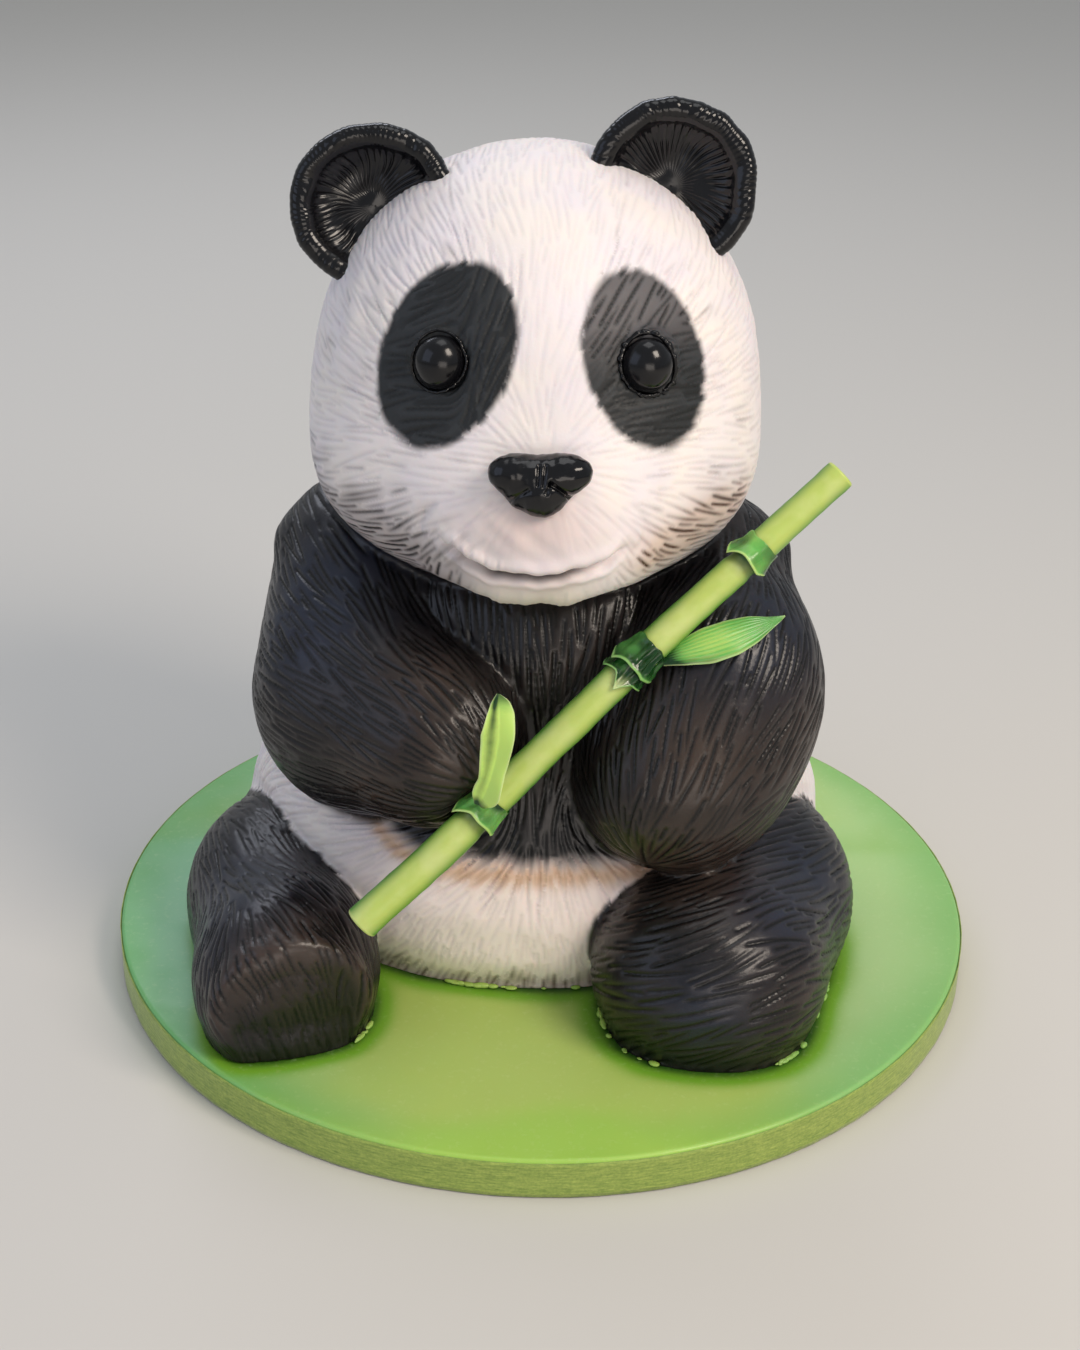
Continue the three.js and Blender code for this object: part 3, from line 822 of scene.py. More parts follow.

# White paste is milky and satin, with painted shade in its grooves. Black paste is rubbed with petal
# dust, so that the ridges carry a brown or blue bloom that is partly painted highlight and painted sky
# reflection, while the grooves are painted black as shade; steam leaves it with a broken shine.
SUGAR_PASTE, node = new_material("carved_sugar_paste")
place = node("TexCoord").outputs["Object"]
mark = {name: node("Attribute", attribute_name=name).outputs["Fac"] for name in marks}
patchy = node("TexNoise", {"Vector": place, "Scale": 38, "Detail": 3.0})
patchy = node("MapRange", {"Value": patchy, "From Min": 0.35, "From Max": 0.65})
grainy = node("TexNoise", {"Vector": place, "Scale": 650, "Detail": 4.0, "Roughness": 0.65})
ridge = node("Math", {0: 1.0, 1: mark["groove"]}, operation="SUBTRACT")
half_groove = node("Math", {0: mark["groove"], 1: 0.7, 2: 0.3}, operation="MULTIPLY_ADD")
LAYERS = {
    # base colour, then layers of (mark, how it is broken up, strength, colour)
    "white": (
        "#F0E8E3",
        (patchy, None, 1.0, "#E9E2E6"),
        # belly: pinkish cream and painted light
        (mark["belly"], None, 1.0, "#FFEEEC"),
        # muzzle: pinkish beige and painted shade
        (mark["muzzle"], None, 0.85, "#DAC6BF"),
        (mark["chin"], None, 0.6, "#D9D3B6"),
        # painted shade in the grooves
        (mark["groove"], None, 0.24, "#A39AA6"),
        # painted shadow in the mouth's cut
        (mark["crease"], None, 0.95, "#2E2520"),
        (mark["tanned"], None, 0.8, "#D6AE8C"),
        (mark["tanned"], mark["groove"], 0.35, "#8A6446"),
        (mark["orange"], None, 0.5, "#CBA688"),
        (mark["orange"], mark["groove"], 1.3, "#4A2E1E"),
        # the jaw: black dust and painted shade
        (mark["jaw_dust_and_shade"], None, 0.6, "#857B79"),
        (mark["jaw_dust_and_shade"], mark["groove"], 1.3, "#15110F"),
        # darker towards the board
        (mark["darker_at_base"], None, 0.4, "#8C8060"),
        (mark["darker_at_base"], half_groove, 1.0, "#4A3820"),
    ),
    "black": (
        "#060505",
        # ridges lighter than the grooves, which take painted shade
        (ridge, patchy, 0.85, "#1D1819"),
        (ridge, mark["hair"], 0.6, "#2E2A2A"),
        # brown and blue bloom: dust, with painted highlights and a painted sky reflection
        (mark["warm"], ridge, 0.65, "#4C3E34"),
        (mark["cool"], ridge, 0.7, "#232A3C"),
    ),
    "slate": ("#17191A", (ridge, mark["hair"], 0.8, "#34373A"), (mark["bare"], ridge, 0.75, "#6A6668")),
}
paints = {}
for name, (base, *layers) in LAYERS.items():
    paint = linear(base)
    for first, second, strength, colour in layers:
        share = node("Math", {0: first, 1: strength}, operation="MULTIPLY")
        if second:
            share = node("Math", {0: share, 1: second}, operation="MULTIPLY")
        paint = node("Mix", {0: share, 6: paint, 7: linear(colour)}, data_type="RGBA")
    paints[name] = paint
coat = node("Mix", {0: mark["dark"], 6: paints["white"], 7: paints["black"]}, data_type="RGBA")
coat = node("Mix", {0: mark["patch"], 6: coat, 7: paints["slate"]}, data_type="RGBA")
satin = node("MapRange", {"Value": mark["dark"], "To Min": 0.46, "To Max": 0.22})
satin = node("Math", {0: grainy, 1: 0.2, 2: satin}, operation="MULTIPLY_ADD")
grain = node("Bump", {"Strength": 0.3, "Distance": 0.00025, "Height": grainy})
paste = node(
    "BsdfPrincipled",
    {
        "Base Color": coat,
        "Roughness": satin,
        "Normal": grain,
        "Specular IOR Level": 0.4,
        "Subsurface Weight": 0.1,
        "Subsurface Scale": 0.002,
    },
)
node("OutputMaterial", {"Surface": paste})


def lay_flat(piece, points, faces, ways):
    """A UV map named OFBake: each of the piece's six sides is laid flat in its own sixth of the square.
    """
    facing = ways[faces].mean(1)
    axis = np.abs(facing).argmax(1)
    side = 2 * axis + (facing[np.arange(len(faces)), axis] > 0)
    spread = (points - points.min(0)) / np.ptp(points, axis=0)
    flat = np.empty((len(faces), 4, 2), np.float32)
    for k in range(6):
        mine = side == k
        level = [i for i in range(3) if i != k // 2]
        flat[mine] = (0.02 + 0.96 * spread[faces[mine]][..., level] + (k % 3, k // 3)) / (3, 2)
    piece.data.uv_layers.new(name="OFBake").data.foreach_set("uv", flat.ravel())


# The covering is one surface, parted along its creases and behind the ears into pieces that load well.
# Their edges share points and normals, so no seam shows.
whole = quad_mesh("whole", (carved * MM).astype(np.float32), skin_quads)
shading = np.empty(len(carved) * 3, np.float32)
whole.vertex_normals.foreach_get("vector", shading)
shading = shading.reshape(-1, 3)
bpy.data.meshes.remove(whole)

quad_form = owner[skin_quads[:, 0]]
quad_form = np.where(quad_form == OF["tail"], OF["trunk"], quad_form)
quad_middle = skin_points[skin_quads].mean(1)
showing = quad_middle[:, 2] > SEAT + 0.3  # the flat underside is left to the board
depth = quad_middle[:, 1] - (head_low[1] + head_high[1]) / 2
PARTED = [
    # piece, the form it covers, mm behind the head's middle from and to, finish, solids it stands for
    ("skin_face", "head", -99, -26, "paste_white", ["head"]),
    ("skin_crown", "head", -26, 36, "paste_white", []),
    ("skin_nape", "head", 36, 199, "paste_white", []),
    ("skin_chest", "trunk", -199, 4, "paste_black", ["trunk"]),
    ("skin_flanks", "trunk", 4, 78, "paste_black", []),
    ("skin_back", "trunk", 78, 199, "paste_black", ["tail"]),
    ("skin_arm_right", "arm_right", -199, 199, "paste_black", ["arm_right"]),
    ("skin_arm_left", "arm_left", -199, 199, "paste_black", ["arm_left"]),
    ("skin_leg_right", "leg_right", -199, 199, "paste_black", ["leg_right"]),
    ("skin_leg_left", "leg_left", -199, 199, "paste_black", ["leg_left"]),
]
for name, form, start, end, slot, replaced in PARTED:
    mine = (quad_form == OF[form]) & (depth >= start) & (depth < end) & showing
    used, faces = np.unique(skin_quads[mine], return_inverse=True)
    faces = faces.reshape(-1, 4)
    piece = add_piece(name, carved[used], faces, SUGAR_PASTE, slot, *replaced)
    piece.data.normals_split_custom_set_from_vertices(shading[used])
    lay_flat(piece, skin_points[used], faces, skin_normals[used])
    for mark_name, values in marks.items():
        hold_attribute(piece, mark_name, values[used])

# Where the figure meets the board, the green is sprayed deeper and darkened with a painted contact
# shadow, strongest in front, and scraps of soft green paste stay.
foot = sampled(figure, icing_points + np.array([0, 0, 4.0]))
in_front = 0.45 + 0.55 * ease(-20, -70, icing_points[:, 1]) * ease(150, 100, np.abs(icing_points[:, 0]))
icing = add_piece("icing_cover", icing_points, icing_faces, ICING_PASTE, "icing_green", "board_icing")
hold_attribute(icing, "at_feet", np.exp(-np.clip(foot, 0, 99) / 7.5) * in_front)

# Scraps: crumbs and pinched ends of soft green paste that were pushed against the feet.
LEFT_OVER = [
    # place on the board in mm, the spread round it, and how many
    (-48, -112, 9, 16), (-36, -98, 6, 6), (-30, -84, 9, 9), (8, -88, 14, 10), (22, -88, 5, 6),
    (124, -78, 9, 12), (98, -118, 8, 12), (34, -116, 6, 4),
]
CRUMB_ROWS, CRUMB_COLUMNS = 9, 14


def ball_angles(rows, columns, pole):
    """The tilt and turn of a ball's points, in radians, from pole short of one end to the other."""
    return np.meshgrid(np.linspace(pole, math.pi - pole, rows), full_turn(columns), indexing="ij")


hand = np.random.default_rng(43)
tilt, turn = ball_angles(CRUMB_ROWS, CRUMB_COLUMNS, 0.05)
ball = np.stack([np.sin(tilt) * np.cos(turn), np.sin(tilt) * np.sin(turn), np.cos(tilt)], -1)
ball = ball.reshape(-1, 3)
ball_faces = woven(CRUMB_ROWS, CRUMB_COLUMNS, closed_columns=True)[:, ::-1]
crumbs, crumb_faces = [], []
for at_x, at_y, spread, count in LEFT_OVER:
    for _ in range(count):
        at = np.array([[at_x + hand.normal(0, spread), at_y + hand.normal(0, spread), BOARD_TOP + 0.6]])
        for _ in range(6):  # slide it to the foot's outline
            way = outward(at) * (1, 1, 0)
            at = at - way * (sampled(figure, at) - hand.uniform(0.1, 0.9))[:, None]
        if abs(sampled(figure, at)[0]) > 1.5:
            continue
        size = hand.uniform(0.5, 1.3) * hand.uniform(0.7, 1.3, 3) * (2.0, 1, 0.7)
        c, s = way[0, 1], -way[0, 0]  # along the outline
        crumb = ball * size * (1 + 0.22 * soft_noise(ball + hand.uniform(0, 50, 3), 1.6, 44)[:, None])
        crumb = crumb @ np.array([[c, s, 0], [-s, c, 0], [0, 0, 1]])
        crumb_faces.append(ball_faces + len(crumbs) * len(ball))
        crumbs.append(crumb + at)
scraps = add_piece(
    "icing_scraps", np.concatenate(crumbs), np.concatenate(crumb_faces), ICING_PASTE, "icing_green"
)
hold_attribute(scraps, "at_feet", np.full(len(scraps.data.vertices), 0.35))

# ---------------------------------------------------------------------------------------------------
# Eyes and nose: balls of black paste, pushed into their places and coated with confectioner's glaze,
# which dries as a wet-looking skin with slight ripples.
# ---------------------------------------------------------------------------------------------------
# Shellac glaze over black: a sharp highlight, broken where the brush dragged it.
BLACK_GLAZE, node = new_material("glazed_black_sugar_paste")
place = node("TexCoord").outputs["Object"]
drag = node("TexNoise", {"Vector": place, "Scale": 260, "Detail": 3.0})
pool = node("TexNoise", {"Vector": place, "Scale": 90})
tone = node("Mix", {0: drag, 6: linear("#050506"), 7: linear("#101014")}, data_type="RGBA")
wet = node("MapRange", {"Value": pool, "From Min": 0.3, "From Max": 0.7, "To Min": 0.1, "To Max": 0.24})
drag = node("Bump", {"Strength": 0.25, "Distance": 0.0003, "Height": drag})
glaze = node(
    "BsdfPrincipled",
    {
        "Base Color": tone,
        "Roughness": wet,
        "Normal": drag,
        "Specular IOR Level": 0.4,
    },
)
node("OutputMaterial", {"Surface": glaze})

EYE_ROWS, EYE_COLUMNS = 40, 72
for side, middle in EYES.items():
    low, high = box_mm("eye_" + side)
    half = (high - low) / 2
    tilt, turn = ball_angles(EYE_ROWS, EYE_COLUMNS, 0.002)
    # The poles face front and back, and the ball is a little flattened in front.
    ball = np.stack([np.sin(tilt) * np.cos(turn), -np.cos(tilt), np.sin(tilt) * np.sin(turn)], -1)
    ball = ball.reshape(-1, 3) * (half + 0.4)
    ball *= 1 + 0.012 * soft_noise(ball, 8, 51)[:, None]
    faces = woven(EYE_ROWS, EYE_COLUMNS, closed_columns=True)[:, ::-1]
    add_piece("eyeball_" + side, middle + ball, faces, BLACK_GLAZE, "glaze_black", "eye_" + side)

# The nose is a bar with a wing at each side and a drop below: the bar is flat on top, a tool pressed a
# groove down its middle, and a notch under each wing makes the nostrils.
NOSE_PITCH = 0.56
nose_start = np.floor((nose_low - 3) / NOSE_PITCH).astype(int) - 3
nose_shape = np.ceil((nose_high + 3) / NOSE_PITCH).astype(int) + 3 - nose_start
nose_form = rounded(distance_grid("nose", NOSE_PITCH, nose_start, nose_shape), 2)
grid_points = np.stack(np.meshgrid(*(np.arange(n) for n in nose_shape), indexing="ij"), -1)
grid_points = (grid_points + nose_start) * NOSE_PITCH - NOSE


def lump(at, radii):
    """The distance outside an ellipsoid, nearly, for each point of the nose's grid."""
    scaled = (grid_points - at) / radii
    reach = np.linalg.norm(scaled, axis=-1)
    return (reach - 1) * reach / np.maximum(np.linalg.norm(scaled / radii, axis=-1), 1e-6)


bar = lump((0.3, 1, 4.8), (16.0, 6.6, 5.0))
drop = lump((-1.0, 0, -2.5), (11.5, 6.4, 8.0))
nose_form = soft_union(soft_union(nose_form, bar, 3), drop, 3)
nose_points, nose_faces = surface_of(nose_form.astype(np.float32), NOSE_PITCH, nose_start)
out = nose_points - NOSE
across, up = out[:, 0].copy(), (out @ UP).copy()
out /= np.linalg.norm(out, axis=1, keepdims=True)


def off_line(start, end):
    """How far each point of the nose lies from a line drawn on its face, in millimetres."""
    way = np.subtract(end, start)
    share = np.clip(((across - start[0]) * way[0] + (up - start[1]) * way[1]) / (way @ way), 0, 1)
    return np.hypot(across - start[0] - share * way[0], up - start[1] - share * way[1])


NOSE_CUTS = [
    # start and end on the face (mm across, mm up), depth and half width
    ((-0.6, 6.0), (-0.9, -1.0), 0.7, 0.5),
    ((1.9, 6.0), (1.3, -1.5), 0.7, 0.5),
    ((12.5, -5.5), (4.0, -0.2), 1.9, 0.9),
    ((4.0, -0.2), (2.4, -3.4), 1.0, 0.7),
    ((-10.5, -6.0), (-4.5, -2.6), 0.9, 0.8),
]
on_face = ease(0, -2, nose_points[:, 1] - NOSE[1])
cut = sum(deep * band(off_line(start, end), 0, half) for start, end, deep, half in NOSE_CUTS) * on_face
ripple = 0.16 * soft_noise(nose_points, 3.2, 52) + 0.14 * soft_noise(nose_points, 8, 53)
nose_points += out * (ripple - cut)[:, None]
add_piece("nose_glazed", nose_points, nose_faces, BLACK_GLAZE, "glaze_black", "nose")

# Round each eye the black paste was squeezed up into a thin rough bead, which took some of the glaze.
BEAD_ROWS, BEAD_COLUMNS = 320, 12
for side, middle in EYES.items():
    turn = full_turn(BEAD_ROWS)
    ring = np.stack([np.cos(turn), np.sin(turn)], 1)
    rough = soft_noise(ring * 9, 1.6, 56 if side == "left" else 57)
    reach = 10.1 + 0.5 * soft_noise(ring * 9, 12, 58) + 0.2 * rough
    bead = middle + (reach * ring[:, 0])[:, None] * (1, 0, 0) + (reach * ring[:, 1])[:, None] * UP
    for _ in range(12):  # slide it to the head's surface
        bead = bead - sampled(forms["head"], bead)[:, None] * (0, -0.85, 0.5) * 0.8
    thick = (0.95 + 0.42 * rough if side == "left" else 0.6 + 0.1 * rough)[:, None]
    way = np.roll(bead, -1, 0) - np.roll(bead, 1, 0)
    way /= np.linalg.norm(way, axis=1, keepdims=True)
    out = outward(bead)
    side_way = np.cross(way, out)
    lap = full_turn(BEAD_COLUMNS)
    tube = (
        bead[:, None] + 0.5 * out[:, None] + (thick * np.cos(lap))[..., None] * out[:, None]
        + (thick * np.sin(lap))[..., None] * side_way[:, None]
    )
    faces = woven(BEAD_ROWS, BEAD_COLUMNS, closed_rows=True, closed_columns=True)
    add_piece("eye_bead_" + side, tube.reshape(-1, 3), faces, BLACK_GLAZE, "glaze_black")

# ---------------------------------------------------------------------------------------------------
# The ears: cups of stiff black paste with a thick rolled rim, cut with a tool across the rim and round
# the hollow, glazed, and stuck into a slot in each side of the head.
# ---------------------------------------------------------------------------------------------------
EAR_RADIUS = 32.0
EAR_LEAN = math.radians(-12)
EAR_TALL = {"right": 0.94, "left": 1.0}
EAR_RINGS = [
    # mm from the middle and mm behind the rim's line: hollow, step, flat rolled rim, then the back
    (0.3, 5.0), (6, 4.7), (12, 3.6), (17, 1.8), (20.5, 0.0), (22.4, -1.6), (23.2, -3.6), (24.4, -4.8),
    (26.2, -5.6), (28.4, -5.9), (30.4, -5.2), (31.7, -3.4), (32.0, -1.0), (31.6, 2.2), (29.5, 6.0),
    (25, 9.3), (19, 11.8), (12, 13.3), (6, 13.9), (0.3, 14.1),
]
EAR_ROWS, EAR_COLUMNS = 100, 380


def smoothed(line, passes):
    """A row of values or points with its bends eased, pass by pass, between ends that stay."""
    for _ in range(passes):
        line[1:-1] = (line[:-2] + 2 * line[1:-1] + line[2:]) / 4
    return line


rings = np.array(EAR_RINGS)
steps = np.concatenate([[0], np.cumsum(np.hypot(*np.diff(rings, axis=0).T))])
even = np.linspace(0, steps[-1], EAR_ROWS)
profile = np.stack([np.interp(even, steps, rings[:, i]) for i in (0, 1)], 1)
profile = smoothed(profile, 4)
tangent = np.gradient(profile, axis=0)
normal = np.stack([tangent[:, 1], -tangent[:, 0]], 1)
normal /= np.linalg.norm(normal, axis=1, keepdims=True)
turn = full_turn(EAR_COLUMNS)
ear_faces = woven(EAR_ROWS, EAR_COLUMNS, closed_columns=True)[:, ::-1]

for side, tall in EAR_TALL.items():
    low, high = box_mm("ear_" + side)
    at_x = low[0] + EAR_RADIUS if side == "right" else high[0] - EAR_RADIUS
    at_z = high[2] - EAR_RADIUS * tall * math.cos(EAR_LEAN)
    at = np.array([at_x, (low[1] + high[1]) / 2 - 2.3, at_z - 0.3])
    radius = profile[:, :1] + 0 * turn
    depth = profile[:, 1:] + 0 * turn
    # Tool marks: fine cuts over the rim 2 mm apart, and longer uneven ones that run down the hollow.
    seed = 61 if side == "right" else 62
    marks_at = np.stack([radius * np.cos(turn), radius * np.sin(turn)], -1).reshape(-1, 2)
    sway = soft_noise(marks_at, 18, seed).reshape(radius.shape)
    faint = np.clip(0.55 + 0.6 * soft_noise(marks_at, 9, seed + 9).reshape(radius.shape), 0, 1)
    on_rim = band(profile[:, 0], 29, 4)[:, None] * ease(12, 3, profile[:, 1:])
    cuts = np.clip(np.sin(turn * 76 + sway * 9) - 0.1, 0, 1) * 0.45 * on_rim * faint
    in_cup = ease(2, 15, radius) * ease(23.5, 21, radius) * (profile[:, 1:] < 6)
    rows = np.clip(np.sin(turn * 46 + sway * 5), 0, 1) * faint
    lumps = soft_noise(marks_at, 9, seed + 5).reshape(radius.shape)
    shift = -cuts - 0.9 * rows * in_cup + 0.5 * lumps
    radius = radius + normal[:, :1] * shift
    depth = depth + normal[:, 1:] * shift
    # The rim is not a true circle, and its roll is thicker at the outer side.
    wobble = 1 + 0.012 * np.sin(2 * turn + seed) + 0.008 * np.sin(5 * turn + 2 * seed)
    cup = np.stack([radius * wobble * np.cos(turn), depth, radius * wobble * np.sin(turn) * tall], -1)
    cup = cup.reshape(-1, 3)
    c, s = math.cos(EAR_LEAN), math.sin(EAR_LEAN)
    cup[:, 1], cup[:, 2] = cup[:, 1] * c - cup[:, 2] * s, cup[:, 1] * s + cup[:, 2] * c
    cup += at
    buried = sampled(figure, cup) < -4
    faces = ear_faces[~buried[ear_faces].all(1)]
    used, faces = np.unique(faces, return_inverse=True)
    add_piece(
        "ear_cup_" + side, cup[used], faces.reshape(-1, 4), BLACK_GLAZE, "glaze_black", "ear_" + side
    )

# ---------------------------------------------------------------------------------------------------
# The bamboo cane: green paste rolled over a dowel in four lengths, each set into the skirt of the next
# one up. Its flanks and joints are airbrushed a darker green, with painted shade on the flanks and a
# painted shadow under each skirt, and the ends are cut square.
# ---------------------------------------------------------------------------------------------------
CANE_RADII = (6.6, 5.8)  # at the low end and the high end
cane_low, cane_high = box_mm("bamboo_cane")
cane_start, cane_end = cane_low, cane_high
for _ in range(4):  # the box holds the tilted end discs as well, so the line's ends lie a little inside
    cane_way = (cane_end - cane_start) / np.linalg.norm(cane_end - cane_start)
    disc = np.sqrt(1 - cane_way**2)
    cane_start = cane_low + disc * CANE_RADII[0]
    cane_end = cane_high - disc * CANE_RADII[1]
CANE_LENGTH = np.linalg.norm(cane_end - cane_start)
cane_front = np.array([0, -math.cos(CAMERA_PITCH), math.sin(CAMERA_PITCH)])  # its visible side
cane_front -= (cane_front @ cane_way) * cane_way
cane_front /= np.linalg.norm(cane_front)
cane_side = np.cross(cane_way, cane_front)  # along the cane's upper edge


def along_cane(node):
    """How far along the cane the middle of a sheath lies, in millimetres."""
    return (sum(box_mm(node)) / 2 - cane_start) @ cane_way


JOINTS = {node: along_cane(node) for node in ("sheath_low", "sheath_middle", "sheath_high")}


def cane_radius(along):
    return CANE_RADII[0] + (CANE_RADII[1] - CANE_RADII[0]) * along / CANE_LENGTH


def on_cane(along, radius, turn):
    """Points round the cane's line; turn is the angle from its visible side towards its upper edge."""
    sway = 0.7 * np.sin(along / CANE_LENGTH * math.pi * 2.2 + 0.5) * ease(0, 40, along)
    round_line = np.cos(turn)[..., None] * cane_front + np.sin(turn)[..., None] * cane_side
    return (
        cane_start + along[..., None] * cane_way + radius[..., None] * round_line
        + sway[..., None] * cane_side
    )


CANE_COLUMNS = 72
LIP = 4.0  # mm from a joint down to the lip of the upper length
along = np.linspace(0, CANE_LENGTH, 360)
profile = cane_radius(along)
for at in JOINTS.values():
    # Each length swells towards its joint, and the next one is set into it with a pinch below the lip.
    down = at - LIP - along
    profile += 0.5 * np.exp(-np.abs(along - at) / 9) - 0.75 * band(down, 2.5, 2.2)
profile *= 1 + 0.01 * np.sin(along / 17) + 0.006 * np.sin(along / 6.1 + 2)
# Each end is cut square, with a 1 mm softened edge and a face that is dished a little.
corner = np.linspace(0, math.pi / 2, 7)
radii = [profile[0] * share for share in (0.03, 0.35, 0.65)] + list(profile[0] - 1 + np.sin(corner))
heights = [0.45, 0.35, 0.12] + list(1 - np.cos(corner))
middle = (along > 1.2) & (along < CANE_LENGTH - 1.2)
radii = np.concatenate([radii, profile[middle], (np.array(radii) * profile[-1] / profile[0])[::-1]])
heights = np.concatenate([heights, along[middle], CANE_LENGTH - np.array(heights)[::-1]])
turn = full_turn(CANE_COLUMNS)
cane_along = heights[:, None] + 0 * turn
cane_round = radii[:, None] + 0 * turn
flat = np.stack([cane_along, cane_round * np.cos(turn), cane_round * np.sin(turn)], -1).reshape(-1, 3)
lumps = 0.22 * soft_noise(flat, 16, 71) + 0.08 * soft_noise(flat, 5, 72)
cane_round = cane_round + lumps.reshape(cane_round.shape) * (cane_round > 3)
cane_points = on_cane(cane_along, cane_round, 0 * cane_along + turn).reshape(-1, 3)

# Paste of this green is yellowish where it is bare. The airbrush adds leaf green along both flanks,
# deepened by painted shade where they turn away from view, and a dark green at the joints, deepened by
# a painted shadow under each skirt's lip, and leaves a soft mottle.
CANE_PASTE, node = new_material("airbrushed_bamboo_paste")
place = node("TexCoord").outputs["Object"]
flank = node("Attribute", attribute_name="flank").outputs["Fac"]
joint = node("Attribute", attribute_name="joint").outputs["Fac"]
mottle = node("TexNoise", {"Vector": place, "Scale": 75, "Detail": 5.0})
speck = node("TexNoise", {"Vector": place, "Scale": 900, "Detail": 2.0})
flank = node("Math", {0: mottle, 1: 0.5, 2: flank}, operation="MULTIPLY_ADD")
flank = node("MapRange", {"Value": flank, "From Min": 0.33, "From Max": 1.2})
joint = node("Math", {0: mottle, 1: 0.3, 2: joint}, operation="MULTIPLY_ADD")
joint = node("MapRange", {"Value": joint, "From Min": 0.5, "From Max": 1.15})
pale = node("MapRange", {"Value": mottle, "From Min": 0.45, "From Max": 0.7, "To Max": 0.55})
green = linear("#BACE68")
for share, colour in ((pale, "#D6DE98"), (flank, "#5C9632"), (joint, "#1C4A14")):
    green = node("Mix", {0: share, 6: green, 7: linear(colour)}, data_type="RGBA")
speck_bump = node("Bump", {"Strength": 0.15, "Distance": 0.0002, "Height": speck})
satin = node(
    "MapRange", {"Value": mottle, "From Min": 0.3, "From Max": 0.7, "To Min": 0.34, "To Max": 0.52}
)
paste = node(
    "BsdfPrincipled",
    {
        "Base Color": green,
        "Roughness": satin,
        "Normal": speck_bump,
        "Subsurface Weight": 0.08,
        "Subsurface Scale": 0.002,
    },
)
node("OutputMaterial", {"Surface": paste})
cane_faces = woven(len(heights), CANE_COLUMNS, closed_columns=True)
cane = add_piece("cane_rolled", cane_points, cane_faces, CANE_PASTE, "cane_green", "bamboo_cane")
# Below each skirt's lip the cane is airbrushed dark green and carries a painted shadow of the skirt.
below_lip = [at - LIP - cane_along for at in JOINTS.values()]
at_joint = sum(np.where(down > 0, np.exp(-down / 7), 0.5 * np.exp(down / 7)) for down in below_lip)
at_joint = at_joint + 0.3 * np.exp(-(CANE_LENGTH - cane_along) / 10)
hold_attribute(cane, "joint", at_joint.ravel())
off_the_ends = ease(0.6, 1.4, np.minimum(cane_along, CANE_LENGTH - cane_along))
# the flanks, measured from the side facing the camera: airbrushed green and painted shade
hold_attribute(cane, "flank", (np.abs(np.sin(turn)) ** 3 * off_the_ends).ravel())

# ---------------------------------------------------------------------------------------------------
# Skirts, bract and leaves: thin green paste pinched round the cane at each joint and glazed. The low
# leaf stands up from its skirt with its sides folded in, and the high one is veined and lies flat.
# ---------------------------------------------------------------------------------------------------
# Rolled paste 1 mm thin with petal dust: dark green where it is pinched, yellow in the blade's middle,
# pale where an edge has dried, and the dark green as painted shade inside the skirts. The glaze over
# the skirts is wet and lumpy.
LEAF_PASTE, node = new_material("dusted_leaf_paste")
place = node("TexCoord").outputs["Object"]
deep = node("Attribute", attribute_name="deep").outputs["Fac"]
light = node("Attribute", attribute_name="light").outputs["Fac"]
pale = node("Attribute", attribute_name="pale").outputs["Fac"]
brushed = node("TexNoise", {"Vector": place, "Scale": 200, "Detail": 4.0})
uneven_share = node("Math", {0: brushed, 1: 0.5, 2: -0.25}, operation="MULTIPLY_ADD")
deep_share = node("Math", {0: deep, 1: uneven_share}, operation="ADD")
light_share = node("Math", {0: light, 1: uneven_share}, operation="ADD")
deep_share = node("MapRange", {"Value": deep_share, "From Min": 0.1, "From Max": 0.9})
light_share = node("MapRange", {"Value": light_share, "From Min": 0.1, "From Max": 0.9})
green = linear("#64B252")
for share, colour in ((light_share, "#C6E874"), (deep_share, "#0F3A12"), (pale, "#CFE0A0")):
    green = node("Mix", {0: share, 6: green, 7: linear(colour)}, data_type="RGBA")
wet = node("MapRange", {"Value": deep, "To Min": 0.36, "To Max": 0.16})
dimple = node("Bump", {"Strength": 0.3, "Distance": 0.0003, "Height": brushed})
leaf_skin = node(
    "BsdfPrincipled",
    {
        "Base Color": green,
        "Roughness": wet,
        "Normal": dimple,
        "Subsurface Weight": 0.1,
        "Subsurface Scale": 0.002,
    },
)
node("OutputMaterial", {"Surface": leaf_skin})


def add_leaf_piece(name, points, rows, columns, deep, light, pale, *replaced, loop=False):
    """A sheet or skirt of leaf paste whose rows run out along it and come back on the other side."""
    faces = woven(rows, columns, closed_rows=True, closed_columns=loop)
    piece = add_piece(name, points.reshape(-1, 3), faces, LEAF_PASTE, "leaf_green", *replaced)
    for mark_name, values in (("deep", deep), ("light", light), ("pale", pale)):
        hold_attribute(piece, mark_name, (values + np.zeros(points.shape[:2])).ravel())
    return piece


# Each joint has a skirt: it hugs the upper length and flares over the lower one to a thin pale lip with
# a pointed tooth. The middle joint is pinched into folds and has a second, smaller skirt below.
SKIRTS = {
    # piece: (joint, mm up from it, mm long, flare, teeth, folds, tone, seed), and each tooth is
    # (angle, mm long, radians wide)
    "skirt_low": ("sheath_low", -4.0, 10.0, 1.5, [(-1.05, 5.5, 0.42), (1.3, 1.2, 0.5)], 0.35, 0.35, 81),
    "skirt_middle": ("sheath_middle", -3.0, 11.0, 1.9, [(-1.0, 3.6, 0.4), (0.7, 1.6, 0.6)], 0.9, 0.8, 82),
    "skirt_bract": ("sheath_middle", -8.5, 7.0, 1.2, [(0.15, 6.0, 0.3), (-1.2, 2.0, 0.5)], 0.7, 0.9, 84),
    "skirt_high": ("sheath_high", -3.6, 8.5, 1.7, [(-0.95, 4.2, 0.4), (0.8, 1.4, 0.5)], 0.3, 0.3, 83),
}
SKIRT_ROWS, SKIRT_COLUMNS = 28, 132
turn = full_turn(SKIRT_COLUMNS)
ring = np.stack([np.cos(turn), np.sin(turn)], 1) * 10
share = np.linspace(0, 1, SKIRT_ROWS)[:, None]
